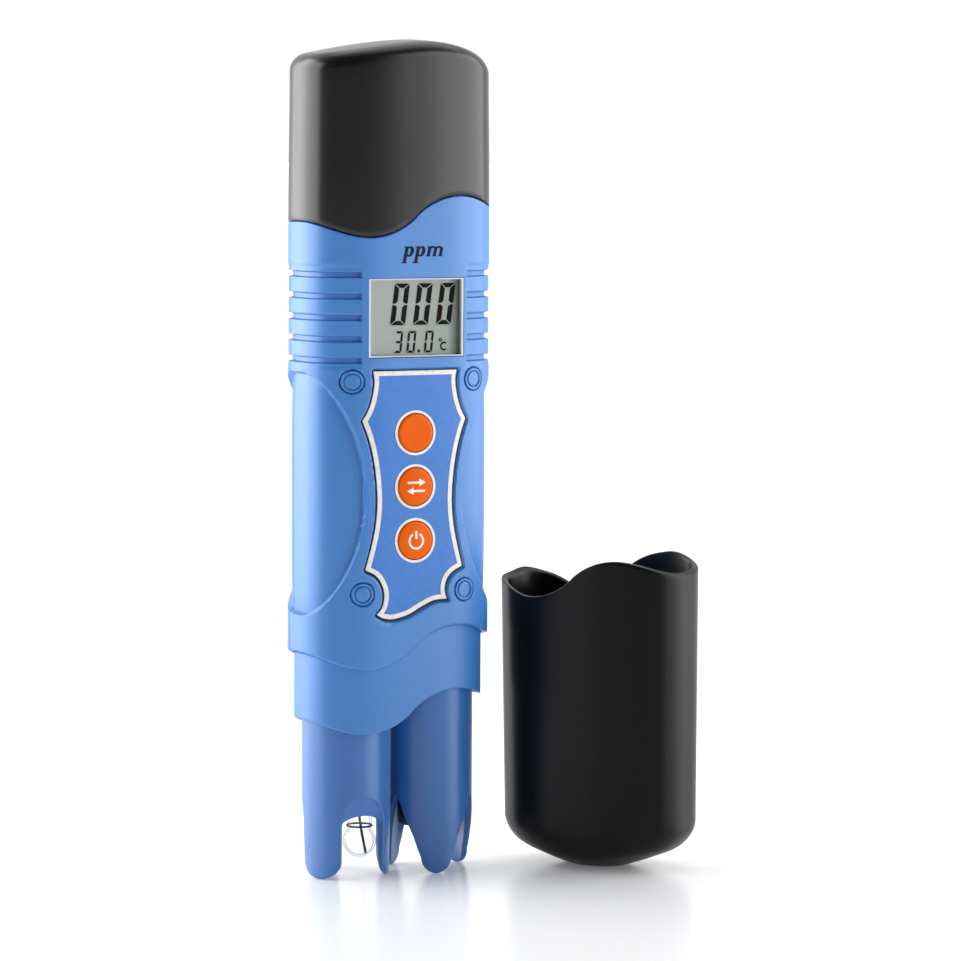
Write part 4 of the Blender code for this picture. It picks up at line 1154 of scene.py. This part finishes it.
# ------------------------------------------------------------- screw plugs
def screw_plug(tag, px, pz):
    n = 64
    t = np.linspace(0, 2 * PI, n, endpoint=False)
    prof = [(2.45, None), (2.45, -0.02), (2.38, 0.10), (2.25, 0.14), (2.05, 0.12), (1.92, 0.0), (1.84, -0.30),
            (1.74, -0.32), (1.66, -0.05), (1.55, 0.05), (1.3, 0.07), (0.9, 0.08), (0.4, 0.08)]
    rings = []
    for r, h in prof:
        x, z = px + r * np.cos(t), pz + r * np.sin(t)
        y = np.full(n, -11.4) if h is None else front_y(x) - h
        rings.append(np.stack([x, y, z], 1))
    return capped("plug_" + tag, rings, (px, -11.4, pz), (px, float(front_y(px)) - 0.08, pz), "meter", BLUE, "meter",
                  "screw_plug_" + tag, 45)


for (px, pz), tag in zip(PLUG_AT, ("upper_left", "upper_right", "lower_left", "lower_right")):
    screw_plug(tag, px, pz)


# ----------------------------------------------------------------- display
def rect(x0, z0, x1, z1):
    return np.array([(x0, z0), (x1, z0), (x1, z1), (x0, z1)], float)


flat_at = lambda y: (lambda x, z: np.full(np.shape(x), float(y)))
W2, H2 = LCD_W / 2 - 0.1, LCD_H / 2 - 0.1
XL, XR, ZL, ZH = LCD_X - W2, LCD_X + W2, LCD_ZC - H2, LCD_ZC + H2
plate("display_bezel", [rect(XL, ZL, XR, ZH), rect(XL + 0.42, ZL + 0.34, XR - 0.5, ZH - 0.3)], flat_at(-13.05), 1.25,
      BEZEL, node="lcd_bezel", grid=30)
plate("display_back", [rect(XL + 0.45, ZL + 0.37, XR - 0.53, ZH - 0.33)], flat_at(-12.15), 0.36, LCD,
      node="lcd_display", grid=2.5)
plate("display_window", [rect(XL + 0.47, ZL + 0.39, XR - 0.55, ZH - 0.35)], flat_at(-12.85), 0.4, WINDOW,
      node="lcd_window", grid=30)


def seven(name, x, z0, z1, w, th, tv, slant, segs, y=-12.21):
    """One figure of a seven-bar display; x is the lower left corner of its upright box."""
    zm, g = (z0 + z1) / 2, min(0.16, th * 0.24)
    sh = math.tan(math.radians(slant))
    X0, X1 = x, x + w

    def bar(points):
        lp = np.array([(px + (pz - z0) * sh, pz) for px, pz in points])
        return lp
    bars = {
        "a": [(X0 + g, z1), (X1 - g, z1), (X1 - tv - g, z1 - th), (X0 + tv + g, z1 - th)],
        "d": [(X0 + g, z0), (X0 + tv + g, z0 + th), (X1 - tv - g, z0 + th), (X1 - g, z0)],
        "f": [(X0, z1 - g), (X0 + tv, z1 - th - g), (X0 + tv, zm + th / 2 + g), (X0 + tv / 2, zm + g), (X0, zm + g)],
        "e": [(X0, z0 + g), (X0, zm - g), (X0 + tv / 2, zm - g), (X0 + tv, zm - th / 2 - g), (X0 + tv, z0 + th + g)],
        "b": [(X1, z1 - g), (X1, zm + g), (X1 - tv / 2, zm + g), (X1 - tv, zm + th / 2 + g), (X1 - tv, z1 - th - g)],
        "c": [(X1, z0 + g), (X1 - tv, z0 + th + g), (X1 - tv, zm - th / 2 - g), (X1 - tv / 2, zm - g), (X1, zm - g)],
        "g": [(X0 + tv * 0.62, zm), (X0 + tv * 1.05, zm + th / 2), (X1 - tv * 1.05, zm + th / 2), (X1 - tv * 0.62, zm),
              (X1 - tv * 1.05, zm - th / 2), (X0 + tv * 1.05, zm - th / 2)],
    }
    for s in segs:
        ob = plate(f"{name}_{s}", [bar(bars[s])], flat_at(y), 0.05, SEG, grid=30)


for i in range(3):
    seven(f"big_zero_{i}", -5.85 + 5.75 * i, 125.2, 134.5, 3.75, 0.98, 1.2, 7.5, "abcdef")
seven("small_three", -5.0, 119.0, 123.85, 2.0, 0.5, 0.52, 6, "abcdg")
seven("small_zero_a", -1.75, 119.0, 123.85, 2.05, 0.5, 0.52, 6, "abcdef")
seven("small_zero_b", 2.65, 119.0, 123.85, 2.05, 0.5, 0.52, 6, "abcdef")
plate("small_point", [circle(1.4, 119.35, 0.34, 24)], flat_at(-12.21), 0.05, SEG, grid=30)
plate("degree_mark", [circle(6.85, 121.75, 0.42, 28), circle(6.85, 121.75, 0.17, 28)], flat_at(-12.21), 0.05, SEG,
      grid=30)
plate("celsius_mark", [arc_band(7.75, 120.35, 0.62, 1.0, 52, 308)], flat_at(-12.21), 0.05, SEG,
      grid=30)


# --------------------------------------------------- unit lettering: p p m
def slanted(points, base, k=0.22):
    return np.array([(x + (z - base) * k, z) for x, z in points])


def letters():
    zb, xh = 140.55, 2.25
    ink = lambda x, z: front_y(x) - 0.035
    n = 0

    def put(loops):
        nonlocal n
        plate(f"unit_mark_{n}", [slanted(lp, zb) for lp in loops], ink, 0.07, INK, grid=0.8)
        n += 1

    def ell(cx, cz, a, b, k=28):
        t = np.linspace(0, 2 * PI, k, endpoint=False)
        return np.stack([cx + a * np.cos(t), cz + b * np.sin(t)], 1)

    for x in (-3.2, -0.35):
        put([[(x, zb - 1.25), (x + 0.8, zb - 1.25), (x + 0.8, zb + xh - 0.3), (x + 0.8, zb + xh), (x - 0.3, zb + xh),
              (x - 0.3, zb + xh - 0.26), (x, zb + xh - 0.3)]])
        put([[(x - 0.32, zb - 1.5), (x + 1.0, zb - 1.5), (x + 1.0, zb - 1.24), (x - 0.32, zb - 1.24)]])
        put([ell(x + 1.3, zb + xh / 2, 1.0, xh / 2 + 0.06), ell(x + 1.1, zb + xh / 2, 0.36, xh / 2 - 0.36)])
    x = 2.55
    for k in range(3):
        s = x + k * 1.52
        put([[(s, zb), (s + 0.74, zb), (s + 0.74, zb + xh - 0.35), (s, zb + xh - 0.35)]])
        put([[(s - 0.2, zb - 0.02), (s + 0.85, zb - 0.02), (s + 0.85, zb + 0.22), (s - 0.2, zb + 0.22)]])
        if k < 2:
            t = np.linspace(PI, 0, 16)
            o = [(s + 1.13 + 1.13 * math.cos(q), zb + xh - 0.75 + 0.82 * math.sin(q)) for q in t]
            i = [(s + 1.13 + 0.42 * math.cos(q), zb + xh - 0.75 + 0.36 * math.sin(q)) for q in t[::-1]]
            put([o + i])
    put([[(x - 0.25, zb + xh - 0.28), (x + 0.6, zb + xh - 0.45), (x + 0.6, zb + xh + 0.02), (x - 0.25, zb + xh + 0.02)]])


letters()


# ------------------------------------------- looks of the carried-over parts
def dress():
    rules = [("o_ring", RUBBER), ("button_cell", NICKEL), ("battery_contact", BRASS), ("battery_spring", STEEL),
             ("battery_holder", HOLDER), ("lead_black", RUBBER), ("lead_red", RED), ("battery_neck", BLUE),
             ("screw_plug", BLUE), ("screw_", STEEL), ("board", PCB), ("chip", CHIP), ("buzzer", CHIP), ("dome_switch", STEEL),
             ("zebra", ZEBRA), ("lead", RUBBER)]
    for name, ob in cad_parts.items():
        for key_, m in rules:
            if key_ in name:
                ob.data.materials.clear()
                ob.data.materials.append(m)
                break


dress()


# ----------------------------------------------------- floor, light, camera
def studio():
    bm = bmesh.new()
    bmesh.ops.create_grid(bm, x_segments=1, y_segments=1, size=30.0)
    me = bpy.data.meshes.new("floor")
    bm.to_mesh(me)
    bm.free()
    floor = bpy.data.objects.new("floor", me)
    floor.location = (0, 0, -0.00005)
    bpy.context.scene.collection.objects.link(floor)
    k = Mat("floor_white")
    k.p.inputs["Base Color"].default_value = (0.90, 0.90, 0.905, 1)
    k.link(k.span(k.noise(3.0), 0.19, 0.23, 0.3, 0.7), k.p.inputs["Roughness"])
    k.p.inputs["Specular IOR Level"].default_value = 0.4
    k.p.inputs["Emission Color"].default_value = (1, 1, 1, 1)
    # The floor glows, weaker near the meter as a painted soft shade around it and stronger far off as painted light
    # where the lamps don't reach.
    away = k.node("ShaderNodeVectorMath", operation="DISTANCE")
    k.link(k.co, away.inputs[0])
    away.inputs[1].default_value = ((AX + 20) * MM, AY * MM, 0)
    glow = k.node("ShaderNodeMath", operation="ADD")
    k.link(k.span(away.outputs["Value"], 0.09, 0.34, 0.22, 0.78), glow.inputs[0])
    k.link(k.span(away.outputs["Value"], 0.0, 0.42, 2.2, 4.0), glow.inputs[1])
    k.link(glow.outputs[0], k.p.inputs["Emission Strength"])
    me.materials.append(k.m)
    floor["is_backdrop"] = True

    th = math.radians(28)
    c = Vector((-math.sin(th), -math.cos(th), 0))
    r = Vector((math.cos(th), -math.sin(th), 0))
    centre = Vector((AX * MM, AY * MM, 0))

    def soft(name, ang, dist, height, w, h, power, aim_z=0.09, colour=(1, 1, 1)):
        a = math.radians(ang)
        pos = centre + (c * math.cos(a) + r * math.sin(a)) * dist + Vector((0, 0, height))
        li = bpy.data.lights.new(name, "AREA")
        li.shape = "RECTANGLE"
        li.size, li.size_y = w, h
        li.energy = power
        li.color = colour
        ob = bpy.data.objects.new(name, li)
        bpy.context.scene.collection.objects.link(ob)
        ob.location = pos
        aim = centre + Vector((0, 0, aim_z)) - pos
        ob.rotation_euler = aim.to_track_quat("-Z", "Y").to_euler()
        return ob

    soft("key_right", 87, 0.75, 0.26, 0.96, 0.85, 7.9)
    soft("strip_left", -97, 0.60, 0.20, 0.90, 0.90, 9.5)
    soft("overhead", 150, 0.35, 1.0, 0.9, 0.7, 2.0)

    world = bpy.data.worlds.new("studio_world")
    bpy.context.scene.world = world
    world.use_nodes = True
    t = world.node_tree
    bg = t.nodes["Background"]
    co = t.nodes.new("ShaderNodeTexCoord")
    dot = t.nodes.new("ShaderNodeVectorMath")
    dot.operation = "DOT_PRODUCT"
    t.links.new(co.outputs["Generated"], dot.inputs[0])
    behind = (-c + r * 0.0).normalized()
    dot.inputs[1].default_value = behind
    mr = t.nodes.new("ShaderNodeMapRange")
    mr.inputs["From Min"].default_value = -0.35
    mr.inputs["From Max"].default_value = 0.40
    mr.inputs["To Min"].default_value = 0.06
    mr.inputs["To Max"].default_value = 1.05
    t.links.new(dot.outputs["Value"], mr.inputs["Value"])
    # the backdrop itself is plain white from every side
    path = t.nodes.new("ShaderNodeLightPath")
    seen = t.nodes.new("ShaderNodeMath")
    seen.operation = "MAXIMUM"
    t.links.new(path.outputs["Is Camera Ray"], seen.inputs[0])
    t.links.new(mr.outputs["Result"], seen.inputs[1])
    t.links.new(seen.outputs["Value"], bg.inputs["Strength"])
    bg.inputs["Color"].default_value = (1, 1, 1, 1)

    D, H, TILT, SHIFT = 0.940, 0.1692, 4.85, 0.02093
    target = centre + r * SHIFT
    cam = bpy.data.cameras.new("camera")
    cam.lens, cam.sensor_width = 4155 / 961 * 36, 36
    cam.clip_end = 20
    ob = bpy.data.objects.new("camera", cam)
    bpy.context.scene.collection.objects.link(ob)
    ob.location = target + c * D + Vector((0, 0, H))
    look = (-c * math.cos(math.radians(TILT)) - Vector((0, 0, 1)) * math.sin(math.radians(TILT)))
    q = look.to_track_quat("-Z", "Y")
    roll = Matrix.Rotation(math.radians(0.30), 3, "Z")
    ob.rotation_euler = (q.to_matrix() @ roll).to_euler()
    bpy.context.scene.camera = ob
    bpy.context.scene.view_settings.view_transform = "Standard"


studio()
{"cad": CAD_BOX, "visual": plain(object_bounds())}
